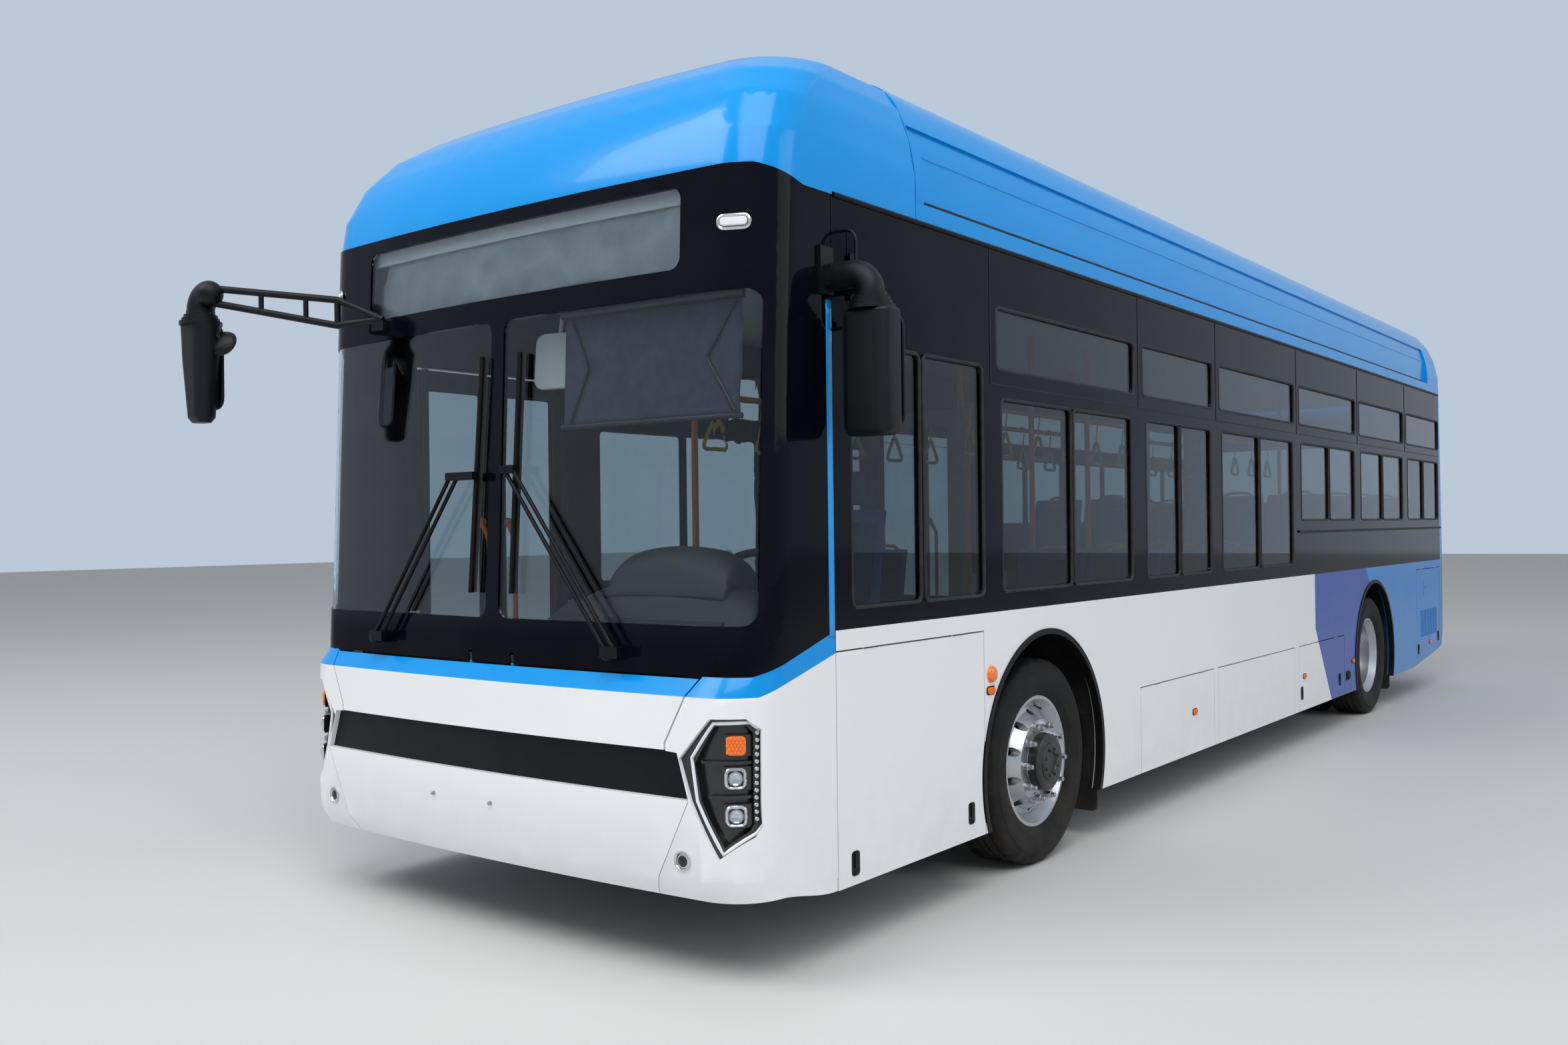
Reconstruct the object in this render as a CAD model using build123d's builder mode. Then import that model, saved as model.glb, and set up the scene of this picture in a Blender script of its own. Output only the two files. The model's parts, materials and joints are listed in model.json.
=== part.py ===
"""Low-entry electric city bus, 10.9 m class, as separate named pieces.

Sizes in millimetres. +Z is up, the front faces -Y, +X is the driver's side and
-X the kerb side with the two passenger doors. The origin lies on the ground
below the middle of the outer box.
"""
import os
from math import atan2, degrees, sqrt

from build123d import *

os.makedirs("parts", exist_ok=True)

# Overall size
body_width = 2500
body_length = 10850
roof_height = 3360
wheelbase = 5880
front_overhang = 2265
mirror_reach = 400

# Heights
skirt_z = 252
floor_z = 340
rear_floor_z = 700
floor_thick = 40
waist_z = 1185
belt_front_z = 1055
band_top_z = 2755
crown_front_z = 2805
door_top_z = 2340

# Walls
wall = 50
band_wall = 45
mask_wall = 40
glass_wall = 30
pane = 10
seam = 4
flap_gap = 6

# Wheels
tyre_radius = 470
hub_z = tyre_radius
tyre_width = 275
rim_radius = 299
arch_radius = 612
twin_pitch = 320
running_gap = 0.4

# Derived lines
half_width = body_width / 2
y_front = (mirror_reach - body_length) / 2
y_rear = y_front + body_length
y_axle_front = y_front + front_overhang
y_axle_rear = y_axle_front + wheelbase
nose_depth = 590
tail_depth = 250
y_nose = y_front + nose_depth
y_tail = y_rear - tail_depth
dome_depth = 1170
tail_dome_depth = 600
wheel_x = half_width - 165
kingpin_x = wheel_x - 140

# Window bays behind the nose: distance of each post from the front face
posts = [1760, 3360, 4520, 6103, 7675, 9237, 10640]
bay_sill = [1270, 1270, 1270, 1570, 1570, 1570]
bay_margin = 95
front_door = (650, 1590)
middle_door = (4580, 5860)

# Plan of the two body ends
nose_crown = 55
nose_corner = 200
tail_crown = 40
tail_corner = 130

# Nose profile: height, setback from the front face
mask_profile = [(300, 48), (372, 8), (640, 0), (990, 12), (1055, 62), (1200, 68)]
screen_profile = [(1040, 61), (2830, 136)]

# Roof shoulder: two tangent arcs, a wide one on the side and a tight one at the top
shoulder_z = 2870
shoulder_in = 300
shoulder_rise = roof_height - shoulder_z
top_round = 240
side_fall = shoulder_rise - top_round
side_round = (shoulder_in ** 2 + side_fall ** 2 - top_round ** 2) / (2 * (shoulder_in - top_round))
round_turn = degrees(atan2(side_fall, side_round - shoulder_in))
dome_back = 600
dome_start_z = 2750
dome_setback = 133


def end_plan(z, setback, inset, depth, corner):
    """Plan of the nose at one height, cut square at its back."""
    side = half_width - inset
    front = y_front + setback
    shoulder = front + nose_crown
    back = y_front + depth
    with BuildSketch(Plane.XY.offset(z)) as plan:
        with BuildLine():
            ThreePointArc((-side, shoulder), (0, front), (side, shoulder))
            Polyline((side, shoulder), (side, back), (-side, back), (-side, shoulder))
        make_face()
        fillet(plan.vertices().sort_by(Axis.Y)[:2], corner)
    return plan.sketch


def tail_plan(z, setback, inset, depth, corner):
    """Plan of the tail at one height, cut square at its front."""
    side = half_width - inset
    back = y_rear - setback
    shoulder = back - tail_crown
    front = y_rear - depth
    with BuildSketch(Plane.XY.offset(z)) as plan:
        with BuildLine():
            ThreePointArc((-side, shoulder), (0, back), (side, shoulder))
            Polyline((side, shoulder), (side, front), (-side, front), (-side, shoulder))
        make_face()
        fillet(plan.vertices().sort_by(Axis.Y)[-2:], corner)
    return plan.sketch


def nose_loft(profile, thick, over):
    """Nose solid through the profile, moved inward by thick and longer by over."""
    rows = list(profile)
    rows[0] = (rows[0][0] - over, rows[0][1])
    rows[-1] = (rows[-1][0] + over, rows[-1][1])
    plans = []
    for z, setback in rows:
        plans.append(end_plan(z, setback + thick, thick, nose_depth + over, nose_corner - thick))
    with BuildPart() as solid:
        loft(plans, ruled=True)
    return solid.part


def prism_x(points, x0, x1):
    """Prism with an outline in Y and Z, from x0 to x1."""
    with BuildPart() as solid:
        with BuildSketch(Plane.YZ.offset(x0)):
            with BuildLine():
                Polyline(*points, close=True)
            make_face()
        extrude(amount=x1 - x0)
    return solid.part


def prism_y(points, y0, y1):
    """Prism with an outline in X and Z, from y0 to y1."""
    with BuildPart() as solid:
        with BuildSketch(Plane.XZ.offset(-y0)):
            with BuildLine():
                Polyline(*points, close=True)
            make_face()
        extrude(amount=y0 - y1)
    return solid.part


def block(x0, x1, y0, y1, z0, z1):
    """Box between two corners."""
    with BuildPart() as solid:
        with Locations(((x0 + x1) / 2, (y0 + y1) / 2, (z0 + z1) / 2)):
            Box(x1 - x0, y1 - y0, z1 - z0)
    return solid.part


def rod(start, end, radius):
    """Round bar between two points."""
    axis = Vector(*end) - Vector(*start)
    with BuildPart() as solid:
        with BuildSketch(Plane(origin=start, z_dir=axis)):
            Circle(radius)
        extrude(amount=axis.length)
    return solid.part


def screen_setback(z):
    """Setback of the windscreen face at a height."""
    (z0, s0), (z1, s1) = screen_profile
    return s0 + (s1 - s0) * (z - z0) / (z1 - z0)


def screen_y(x, z):
    """Y of the windscreen face at a point."""
    return y_front + screen_setback(z) + nose_crown * (x / half_width) ** 2


pieces = {}

# Belt and crown lines that part mask, screen and dome
belt_line = [
    (y_front - 100, 0), (y_front - 100, belt_front_z), (y_front + 170, belt_front_z),
    (y_nose, waist_z), (y_nose + 100, waist_z), (y_nose + 100, 0),
]
below_belt = prism_x(belt_line, -half_width - 100, half_width + 100)
crown_line = [
    (y_front - 100, 0), (y_front - 100, crown_front_z), (y_front + 230, crown_front_z),
    (y_front + 430, band_top_z), (y_front + dome_depth + 100, band_top_z),
    (y_front + dome_depth + 100, 0),
]
below_crown = prism_x(crown_line, -half_width - 100, half_width + 100)

# Nose mask: flap, bumper and two corners
with BuildPart() as mask_shell:
    add(nose_loft(mask_profile, 0, 0))
    add(nose_loft(mask_profile, mask_wall, 20), mode=Mode.SUBTRACT)
    add(below_belt, mode=Mode.INTERSECT)

bar_top_z = 800
bar_low_z = 644
seam_left = [
    (1046, 1062), (926, 830), (926, bar_top_z + 3), (975, bar_top_z), (1027, 640), (867, 323), (860, 280),
]


def seam_prism(shift):
    """Prism of the middle panel's outline, its sides moved outward by shift."""
    right = [(x + shift, z) for x, z in seam_left]
    left = [(-x, z) for x, z in reversed(right)]
    return prism_y(right + left, y_front - 60, y_front + 420)


def front_slab(low, high):
    """Slab across the nose between two heights."""
    return block(-1100, 1100, y_front - 60, y_front + 420, low, high)


middle_prism = seam_prism(-seam / 2)
middle_clear = seam_prism(seam / 2)

# Front flap: thin panel with a lip, on two goosenecks that turn on pins in slots of the screen's lower rail
flap_skin = 12
lip_skin = 3
lip_height = 14
flap_top_z = belt_front_z - 8
flap_hinge_y = y_front + 75
flap_hinge_z = belt_front_z + 25
gooseneck_x = 120
gooseneck_thick = 14
pin_radius = 5
eye_radius = 11
gooseneck_line = [
    (y_front + 18, 935), (flap_hinge_y + 9, 985), (flap_hinge_y + 9, flap_hinge_z),
    (flap_hinge_y - 9, flap_hinge_z), (flap_hinge_y - 9, 1003), (y_front + 18, 972),
]
with BuildPart() as lip_relief:
    add(nose_loft(mask_profile, lip_skin, 0))
    add(front_slab(flap_top_z - lip_height, flap_top_z + 60), mode=Mode.INTERSECT)
with BuildPart() as front_flap:
    add(nose_loft(mask_profile, 0, 0))
    add(nose_loft(mask_profile, flap_skin, 20), mode=Mode.SUBTRACT)
    add(seam_prism(-flap_gap), mode=Mode.INTERSECT)
    add(front_slab(bar_top_z + flap_gap, flap_top_z), mode=Mode.INTERSECT)
    add(lip_relief.part, mode=Mode.SUBTRACT)
    for side in (-1, 1):
        x0 = side * gooseneck_x - gooseneck_thick / 2
        x1 = x0 + gooseneck_thick
        add(prism_x(gooseneck_line, x0, x1))
        add(rod((x0, flap_hinge_y, flap_hinge_z), (x1, flap_hinge_y, flap_hinge_z), eye_radius))
        add(rod((x0 - 5, flap_hinge_y, flap_hinge_z), (x1 + 5, flap_hinge_y, flap_hinge_z),
                pin_radius + running_gap), mode=Mode.SUBTRACT)
pieces["front_flap"] = front_flap.part

with BuildPart() as front_bumper:
    add(mask_shell.part)
    add(middle_prism, mode=Mode.INTERSECT)
    add(front_slab(0, bar_low_z), mode=Mode.INTERSECT)
pieces["front_bumper"] = front_bumper.part

# Lamp pockets in the mask corners
lamp_outline = [
    (985, 780), (1106, 921), (1209, 921), (1236, 885),
    (1238, 558), (1227, 527), (1132, 450), (1035, 642),
]
lamp_pocket_left = prism_y(lamp_outline, y_front - 60, y_front + 330)
lamp_pocket_right = mirror(lamp_pocket_left, about=Plane.YZ)
with BuildPart() as mask_corners:
    add(mask_shell.part)
    add(middle_clear, mode=Mode.SUBTRACT)
    add(lamp_pocket_left, mode=Mode.SUBTRACT)
    add(lamp_pocket_right, mode=Mode.SUBTRACT)
with BuildPart() as front_corners:
    add(mask_corners.part)
    add(block(-1400, 1400, y_front - 60, y_nose - seam / 2, 0, 1400), mode=Mode.INTERSECT)
pieces["front_corners"] = front_corners.part

# Lamp units: a rim behind the skin round a deeper bowl, with lens pods and fins on the bowl
rim_depth = 14
bowl_depth = 40
lamp_back = 60
pod_depth = 22
bowl_outline = [
    (1043, 768), (1116, 895), (1200, 897), (1213, 872),
    (1216, 568), (1207, 545), (1146, 492), (1074, 646),
]
pod_rows = [
    # x low, x high, z low, z high
    (1136, 1208, 795, 867),
    (1136, 1208, 683, 760),
    (1140, 1208, 557, 636),
    (1062, 1210, 768, 778),
    (1092, 1210, 654, 664),
]
with BuildPart() as bowl_prism:
    add(prism_y(bowl_outline, y_front - 60, y_front + 330))
with BuildPart() as pod_prisms:
    for x0, x1, z0, z1 in pod_rows:
        add(block(x0, x1, y_front - 60, y_front + 330, z0, z1))
with BuildPart() as bowl_tool:
    add(nose_loft(mask_profile, 0, 0))
    add(nose_loft(mask_profile, bowl_depth, 20), mode=Mode.SUBTRACT)
    add(bowl_prism.part, mode=Mode.INTERSECT)
with BuildPart() as lamp_pods:
    add(nose_loft(mask_profile, pod_depth, 0))
    add(nose_loft(mask_profile, bowl_depth + 6, 20), mode=Mode.SUBTRACT)
    add(pod_prisms.part, mode=Mode.INTERSECT)
with BuildPart() as headlamps:
    add(nose_loft(mask_profile, rim_depth, 0))
    add(nose_loft(mask_profile, lamp_back, 20), mode=Mode.SUBTRACT)
    add(lamp_pocket_left, mode=Mode.INTERSECT)
    add(bowl_tool.part, mode=Mode.SUBTRACT)
    add(lamp_pods.part)
    mirror(about=Plane.YZ)
pieces["headlamps"] = headlamps.part

# Black bar between flap and bumper, set back and seated between the corners
bar_depth = 22
with BuildPart() as grille_bar:
    add(nose_loft(mask_profile, bar_depth, 0))
    add(nose_loft(mask_profile, mask_wall + bar_depth, 20), mode=Mode.SUBTRACT)
    add(middle_clear, mode=Mode.INTERSECT)
    add(front_slab(bar_low_z, bar_top_z), mode=Mode.INTERSECT)
pieces["grille_bar"] = grille_bar.part

# Windscreen surround and panes
with BuildPart() as screen_shell:
    add(nose_loft(screen_profile, 0, 0))
    add(nose_loft(screen_profile, glass_wall, 20), mode=Mode.SUBTRACT)
    add(below_belt, mode=Mode.SUBTRACT)
    add(below_crown, mode=Mode.INTERSECT)
    add(block(-1400, 1400, y_front - 60, y_nose - seam / 2, 0, 3000), mode=Mode.INTERSECT)
screen_panes = [
    (35, 1214, 1225, 2372),
    (-1214, -35, 1225, 2372),
    (-865, 915, 2462, 2752),
]
with BuildPart() as pane_prisms:
    for x0, x1, z0, z1 in screen_panes:
        with BuildSketch(Plane.XZ.offset(-y_front + 60)):
            with Locations(((x0 + x1) / 2, (z0 + z1) / 2)):
                RectangleRounded(x1 - x0, z1 - z0, 45)
        extrude(amount=-490)
with BuildPart() as windscreen_surround:
    add(screen_shell.part)
    add(pane_prisms.part, mode=Mode.SUBTRACT)
    for side in (-1, 1):
        x0 = side * gooseneck_x - gooseneck_thick / 2 - 4
        x1 = side * gooseneck_x + gooseneck_thick / 2 + 4
        add(block(x0, x1, y_front, y_front + 130, 1000, flap_hinge_z + 16), mode=Mode.SUBTRACT)
        add(rod((x0 - 8, flap_hinge_y, flap_hinge_z), (x1 + 8, flap_hinge_y, flap_hinge_z), pin_radius))
pieces["windscreen_surround"] = windscreen_surround.part
with BuildPart() as windscreen_glass:
    add(nose_loft(screen_profile, 5, 0))
    add(nose_loft(screen_profile, 5 + pane, 20), mode=Mode.SUBTRACT)
    add(pane_prisms.part, mode=Mode.INTERSECT)
pieces["windscreen_glass"] = windscreen_glass.part

# Roof domes
dome_steps = [0, 0.3, 0.55, 0.75, 0.9, 0.975, 1.0]


def shoulder_inset(z, thick):
    """Sideways inset of the roof shoulder at a height."""
    wide = side_round - thick
    tight = top_round - thick
    over_side = max(0.0, z - shoulder_z)
    over_top = max(0.0, z - (roof_height - top_round))
    if over_top > tight * side_fall / (side_round - top_round):
        return shoulder_in - sqrt(max(0.0, tight ** 2 - over_top ** 2))
    return side_round - sqrt(wide ** 2 - over_side ** 2)


def dome_plans(thick, over, plan, setback0, back, depth, corner):
    """Plans of one roof dome from its foot to its top."""
    top = roof_height - thick
    plans = []
    for step in dome_steps:
        z = dome_start_z + step * (top - dome_start_z)
        setback = setback0 + thick + (back - thick) * (1 - sqrt(1 - step * step))
        inset = shoulder_inset(z, thick)
        foot = z - over if step == 0 else z
        round_off = min(corner - thick + 0.3 * (setback - setback0 - thick), depth - setback - 90)
        plans.append(plan(foot, setback, inset, depth + over, round_off))
    return plans


with BuildPart() as roof_dome_front:
    loft(dome_plans(0, 0, end_plan, dome_setback, dome_back, dome_depth, nose_corner), ruled=True)
    loft(dome_plans(wall, 20, end_plan, dome_setback, dome_back, dome_depth, nose_corner),
         ruled=True, mode=Mode.SUBTRACT)
    add(below_crown, mode=Mode.SUBTRACT)
pieces["roof_dome_front"] = roof_dome_front.part

with BuildPart() as roof_dome_rear:
    loft(dome_plans(0, 0, tail_plan, 60, 330, tail_dome_depth, tail_corner), ruled=True)
    loft(dome_plans(wall, 20, tail_plan, 60, 330, tail_dome_depth, tail_corner),
         ruled=True, mode=Mode.SUBTRACT)
    add(block(-1400, 1400, y_front, y_rear + 60, 0, band_top_z), mode=Mode.SUBTRACT)
pieces["roof_dome_rear"] = roof_dome_rear.part

# Roof side fairings with a shallow sunk panel
y_fair0 = y_front + dome_depth + seam
y_fair1 = y_rear - tail_dome_depth - seam
panel_low_z = 2840
panel_top_z = 3150
panel_depth = 30
with BuildPart() as fairing:
    with BuildSketch(Plane.XZ.offset(-y_fair0)):
        with BuildLine():
            side_centre = (half_width - side_round, shoulder_z)
            top_centre = (half_width - shoulder_in, roof_height - top_round)
            lip = half_width - shoulder_in - 120
            outer_side = CenterArc(side_centre, side_round, 0, round_turn)
            outer_top = CenterArc(top_centre, top_round, round_turn, 90 - round_turn)
            inner_side = CenterArc(side_centre, side_round - wall, 0, round_turn)
            inner_top = CenterArc(top_centre, top_round - wall, round_turn, 90 - round_turn)
            Polyline(inner_side @ 0, (half_width - wall, band_top_z), (half_width, band_top_z),
                     outer_side @ 0)
            Polyline(outer_top @ 1, (lip, roof_height), (lip, roof_height - wall), inner_top @ 1)
        make_face()
    extrude(amount=-(y_fair1 - y_fair0))
panel_line = [
    (half_width + 40, panel_low_z - 12), (half_width - panel_depth, panel_low_z),
    (half_width - panel_depth - 2, panel_low_z + 190), (half_width - 64, panel_top_z),
    (half_width + 40, panel_top_z + 8),
]
with BuildPart() as roof_fairings:
    add(fairing.part)
    add(prism_y(panel_line, y_fair0 + 8, y_fair1 - 70), mode=Mode.SUBTRACT)
    mirror(about=Plane.YZ)
pieces["roof_fairings"] = roof_fairings.part

# Roof deck between the window bands, with its nose piece
deck_low_z = band_top_z - 55
with BuildPart() as roof_deck:
    add(block(-half_width + band_wall, half_width - band_wall, y_nose, y_tail, deck_low_z, band_top_z))
    with BuildSketch(Plane.XY.offset(deck_low_z)):
        add(end_plan(0, 136 + glass_wall + 6, glass_wall + 6, nose_depth, nose_corner - glass_wall))
    extrude(amount=55)
pieces["roof_deck"] = roof_deck.part

# Side walls: skirt to waist, with arches, flap openings and doorways
flap_rows = [
    # name, start, end, top, bottom at start, bottom at end
    ("flap_front", 594, 1672, 1112, skirt_z, skirt_z),
    ("flap_one", 3345, 4430, 702, skirt_z, skirt_z),
    ("flap_two", 4510, 5990, 702, skirt_z, skirt_z),
    ("flap_three", 6106, 7224, 702, skirt_z, skirt_z),
    ("flap_rear", 9617, 10556, 1118, 266, 352),
]


def wall_outline(y0, y1):
    """Outline of the lower side wall with its rising tail."""
    return [(y0, skirt_z), (y_front + 9460, skirt_z), (y1, 360), (y1, waist_z), (y0, waist_z)]


with BuildPart() as arch_tools:
    for y_axle in (y_axle_front, y_axle_rear):
        with Locations((0, y_axle, hub_z)):
            Cylinder(arch_radius, body_width + 400, rotation=(0, 90, 0))

# Hinge rods of the lids lie in the gap above them, on the line of the outer skin
hinge_radius = 2.9
hinge_drop = 2.85
hinge_length = 90
with BuildPart() as lower_wall_left:
    add(prism_x(wall_outline(y_nose + seam / 2, y_tail - seam / 2), half_width - wall, half_width))
    add(arch_tools.part, mode=Mode.SUBTRACT)
    for name, start, end, top, low0, low1 in flap_rows:
        add(block(half_width - wall - 10, half_width + 10, y_front + start - flap_gap,
                  y_front + end + flap_gap, 100, top), mode=Mode.SUBTRACT)
        for share in (0.2, 0.8):
            y_mid = y_front + start + share * (end - start)
            add(rod((half_width, y_mid - hinge_length / 2, top - hinge_drop),
                    (half_width, y_mid + hinge_length / 2, top - hinge_drop), hinge_radius))
pieces["lower_wall_left"] = lower_wall_left.part

with BuildPart() as lower_wall_right:
    add(prism_x(wall_outline(y_nose + seam / 2, y_tail - seam / 2), -half_width, -half_width + wall))
    add(arch_tools.part, mode=Mode.SUBTRACT)
    for start, end in (front_door, middle_door):
        add(block(-half_width - 10, -half_width + wall + 10, y_front + start, y_front + end,
                  floor_z, waist_z + 10), mode=Mode.SUBTRACT)
    for slat in range(14):
        y_slat = y_front + 9760 + slat * 48
        add(block(-half_width - 5, -half_width + wall + 5, y_slat, y_slat + 26, 500, 738), mode=Mode.SUBTRACT)
pieces["lower_wall_right"] = lower_wall_right.part

# Service flaps, hinged along their top edge
for name, start, end, top, low0, low1 in flap_rows:
    with BuildPart() as service_flap:
        add(prism_x([(y_front + start, low0), (y_front + end, low1),
                     (y_front + end, top - flap_gap), (y_front + start, top - flap_gap)],
                    half_width - wall, half_width))
        with Locations((half_width, y_axle_front, hub_z)):
            Cylinder(arch_radius + flap_gap, 200, rotation=(0, 90, 0), mode=Mode.SUBTRACT)
        if name == "flap_rear":
            for slat in range(14):
                y_slat = y_front + 9760 + slat * 48
                add(block(half_width - wall - 5, half_width + 5, y_slat, y_slat + 26, 500, 738),
                    mode=Mode.SUBTRACT)
    pieces[name + "_left"] = service_flap.part

# Wheel arch lips
with BuildPart() as arch_lips:
    for y_axle in (y_axle_front, y_axle_rear):
        for side in (-1, 1):
            with Locations((side * (half_width - 14), y_axle, hub_z)):
                Cylinder(arch_radius, 40, rotation=(0, 90, 0))
                Cylinder(arch_radius - 26, 44, rotation=(0, 90, 0), mode=Mode.SUBTRACT)
    add(block(-1400, 1400, y_front, y_rear, -400, skirt_z), mode=Mode.SUBTRACT)
pieces["arch_lips"] = arch_lips.part

# Window bands and panes
band_in = half_width - band_wall
bays = []
for index in range(len(posts) - 1):
    bays.append((posts[index], posts[index + 1], bay_sill[index]))
sash_top_z = 2105
vent_low_z = 2232
vent_top_z = 2500
driver_window = (705, 1690, 1262, 2235)


def band_holes(with_doors):
    """Window openings of one side: list of Y and Z limits with the sash flag."""
    rows = []
    y0, y1, z0, z1 = driver_window
    if not with_doors:
        rows.append((y_front + y0, y_front + y1, z0, z1, True))
    for start, end, sill in bays:
        blocked = with_doors and start < middle_door[1] and end > middle_door[0]
        y0 = y_front + start + bay_margin
        y1 = y_front + end - bay_margin
        if not blocked:
            rows.append((y0, y1, sill, sash_top_z, True))
            rows.append((y0 - 40, y1 + 40, vent_low_z, vent_top_z, False))
        elif start + 120 < middle_door[0] - 500:
            rows.append((y0, y_front + middle_door[0] - 140, sill, sash_top_z, False))
    return rows


def band_solid(with_doors):
    """Window band of one side, built on the driver's side."""
    with BuildPart() as band:
        add(block(band_in, half_width, y_nose + seam / 2, y_tail - seam / 2, waist_z, band_top_z))
        for y0, y1, z0, z1, sash in band_holes(with_doors):
            with BuildSketch(Plane.YZ.offset(band_in - 5)):
                with Locations(((y0 + y1) / 2, (z0 + z1) / 2)):
                    RectangleRounded(y1 - y0, z1 - z0, 40)
            extrude(amount=band_wall + 10, mode=Mode.SUBTRACT)
        for y0, y1, z0, z1, sash in band_holes(with_doors):
            if sash:
                middle = (y0 + y1) / 2
                add(block(band_in + 8, half_width - 6, middle - 14, middle + 14, z0 - 5, z1 + 5))
        if with_doors:
            for start, end in (front_door, middle_door):
                add(block(band_in - 5, half_width + 5, y_front + start, y_front + end, 0, door_top_z),
                    mode=Mode.SUBTRACT)
    return band.part


def band_panes(with_doors):
    """Glass panes of one side, built on the driver's side."""
    with BuildPart() as panes:
        for y0, y1, z0, z1, sash in band_holes(with_doors):
            with BuildSketch(Plane.YZ.offset(half_width - 22)):
                with Locations(((y0 + y1) / 2, (z0 + z1) / 2)):
                    RectangleRounded(y1 - y0, z1 - z0, 40)
            extrude(amount=pane)
            if sash:
                middle = (y0 + y1) / 2
                add(block(band_in + 8, half_width - 6, middle - 14, middle + 14, z0 - 5, z1 + 5),
                    mode=Mode.SUBTRACT)
    return panes.part


pieces["window_band_left"] = band_solid(False)
pieces["window_band_right"] = mirror(band_solid(True), about=Plane.YZ)

# Passenger doors on the kerb side, two leaves each, hung at their outer posts
leaf_thick = 40
leaf_low_z = floor_z + 12
leaf_top_z = door_top_z - 8
leaf_rim = 62
door_rows = [
    ("door_front", front_door),
    ("door_middle", middle_door),
]
leaf_gap = 8
leaf_in = -half_width + 2 + leaf_thick
post_x = -half_width + 70
post_in = 20
post_radius = 16
arm_wide = 24
arm_tall = 40
for name, (start, end) in door_rows:
    half = (end - start) / 2
    leaves = [
        # suffix, edges of the leaf, place of its turning post
        ("_fore", start + leaf_gap, start + half - leaf_gap, start + leaf_gap + post_in),
        ("_aft", start + half + leaf_gap, end - leaf_gap, end - leaf_gap - post_in),
    ]
    for suffix, lead, trail, post in leaves:
        y0 = y_front + lead
        y1 = y_front + trail
        y_post = y_front + post
        with BuildPart() as leaf:
            add(block(-half_width + 2, leaf_in, y0, y1, leaf_low_z, leaf_top_z))
            add(rod((post_x, y_post, floor_z + running_gap), (post_x, y_post, leaf_top_z), post_radius))
            for z_arm in (leaf_low_z + 60, 1300, leaf_top_z - 80):
                add(block(leaf_in - 5, post_x, y_post - arm_wide / 2, y_post + arm_wide / 2,
                          z_arm, z_arm + arm_tall))
            add(block(-half_width - 5, -half_width + leaf_thick + 10, y0 + leaf_rim, y1 - leaf_rim,
                      leaf_low_z + 180, leaf_top_z - 90), mode=Mode.SUBTRACT)
        pieces[name + suffix] = leaf.part
        with BuildPart() as leaf_glass:
            add(block(-half_width + 16, -half_width + 26, y0 + leaf_rim, y1 - leaf_rim,
                      leaf_low_z + 180, leaf_top_z - 90))
        pieces[name + suffix + "_glass"] = leaf_glass.part

# Tail: wall with lid and window openings
tail_profile = [(370, 70), (520, 12), (1150, 0), (2755, 58)]


def tail_loft(thick, over):
    """Tail solid through its profile, moved inward by thick."""
    rows = list(tail_profile)
    rows[0] = (rows[0][0] - over, rows[0][1])
    rows[-1] = (rows[-1][0] + over, rows[-1][1])
    plans = []
    for z, setback in rows:
        plans.append(tail_plan(z, setback + thick, thick, tail_depth + over, tail_corner - thick))
    with BuildPart() as solid:
        loft(plans, ruled=True)
    return solid.part


lid_half = 840
lid_low_z = 600
lid_top_z = 1240
rear_window = prism_y([(-960, 1560), (960, 1560), (930, 2330), (-930, 2330)], y_rear - 320, y_rear + 60)
lid_clear = block(-lid_half - flap_gap, lid_half + flap_gap, y_rear - 320, y_rear + 60,
                  lid_low_z - flap_gap, lid_top_z + flap_gap)
lamp_boxes = [(1000, 1130, 860, 1400), (-1130, -1000, 860, 1400)]
with BuildPart() as rear_wall:
    add(tail_loft(0, 0))
    add(tail_loft(wall, 20), mode=Mode.SUBTRACT)
    add(rear_window, mode=Mode.SUBTRACT)
    add(lid_clear, mode=Mode.SUBTRACT)
    for x0, x1, z0, z1 in lamp_boxes:
        add(block(x0, x1, y_rear - 320, y_rear + 60, z0, z1), mode=Mode.SUBTRACT)
    add(rod((-140, y_rear - 4, lid_top_z + flap_gap - hinge_drop),
            (140, y_rear - 4, lid_top_z + flap_gap - hinge_drop), hinge_radius))
pieces["rear_wall"] = rear_wall.part
with BuildPart() as saloon_glass:
    add(tail_loft(6, 0))
    add(tail_loft(6 + pane, 20), mode=Mode.SUBTRACT)
    add(rear_window, mode=Mode.INTERSECT)
    add(band_panes(False))
    add(mirror(band_panes(True), about=Plane.YZ))
pieces["saloon_glass"] = saloon_glass.part
with BuildPart() as rear_lid:
    add(tail_loft(0, 0))
    add(tail_loft(wall, 20), mode=Mode.SUBTRACT)
    add(block(-lid_half, lid_half, y_rear - 320, y_rear + 60, lid_low_z, lid_top_z), mode=Mode.INTERSECT)
pieces["rear_lid"] = rear_lid.part
with BuildPart() as lamp_prisms:
    for x0, x1, z0, z1 in lamp_boxes:
        add(block(x0, x1, y_rear - 320, y_rear + 60, z0, z1))
with BuildPart() as tail_lamps:
    add(tail_loft(4, 0))
    add(tail_loft(wall, 20), mode=Mode.SUBTRACT)
    add(lamp_prisms.part, mode=Mode.INTERSECT)
pieces["tail_lamps"] = tail_lamps.part

# Floor with step, driver's platform and wheel boxes
in_width = half_width - wall
box_half = arch_radius + 26
box_top_z = hub_z + arch_radius + 26
box_in = 560
box_wall = 22
step_y = y_front + 6150
floor_line = [
    (y_nose, floor_z), (step_y, floor_z), (step_y, rear_floor_z), (y_tail, rear_floor_z),
    (y_tail, rear_floor_z - floor_thick), (step_y + floor_thick, rear_floor_z - floor_thick),
    (step_y + floor_thick, floor_z - floor_thick), (y_nose, floor_z - floor_thick),
]


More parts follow.
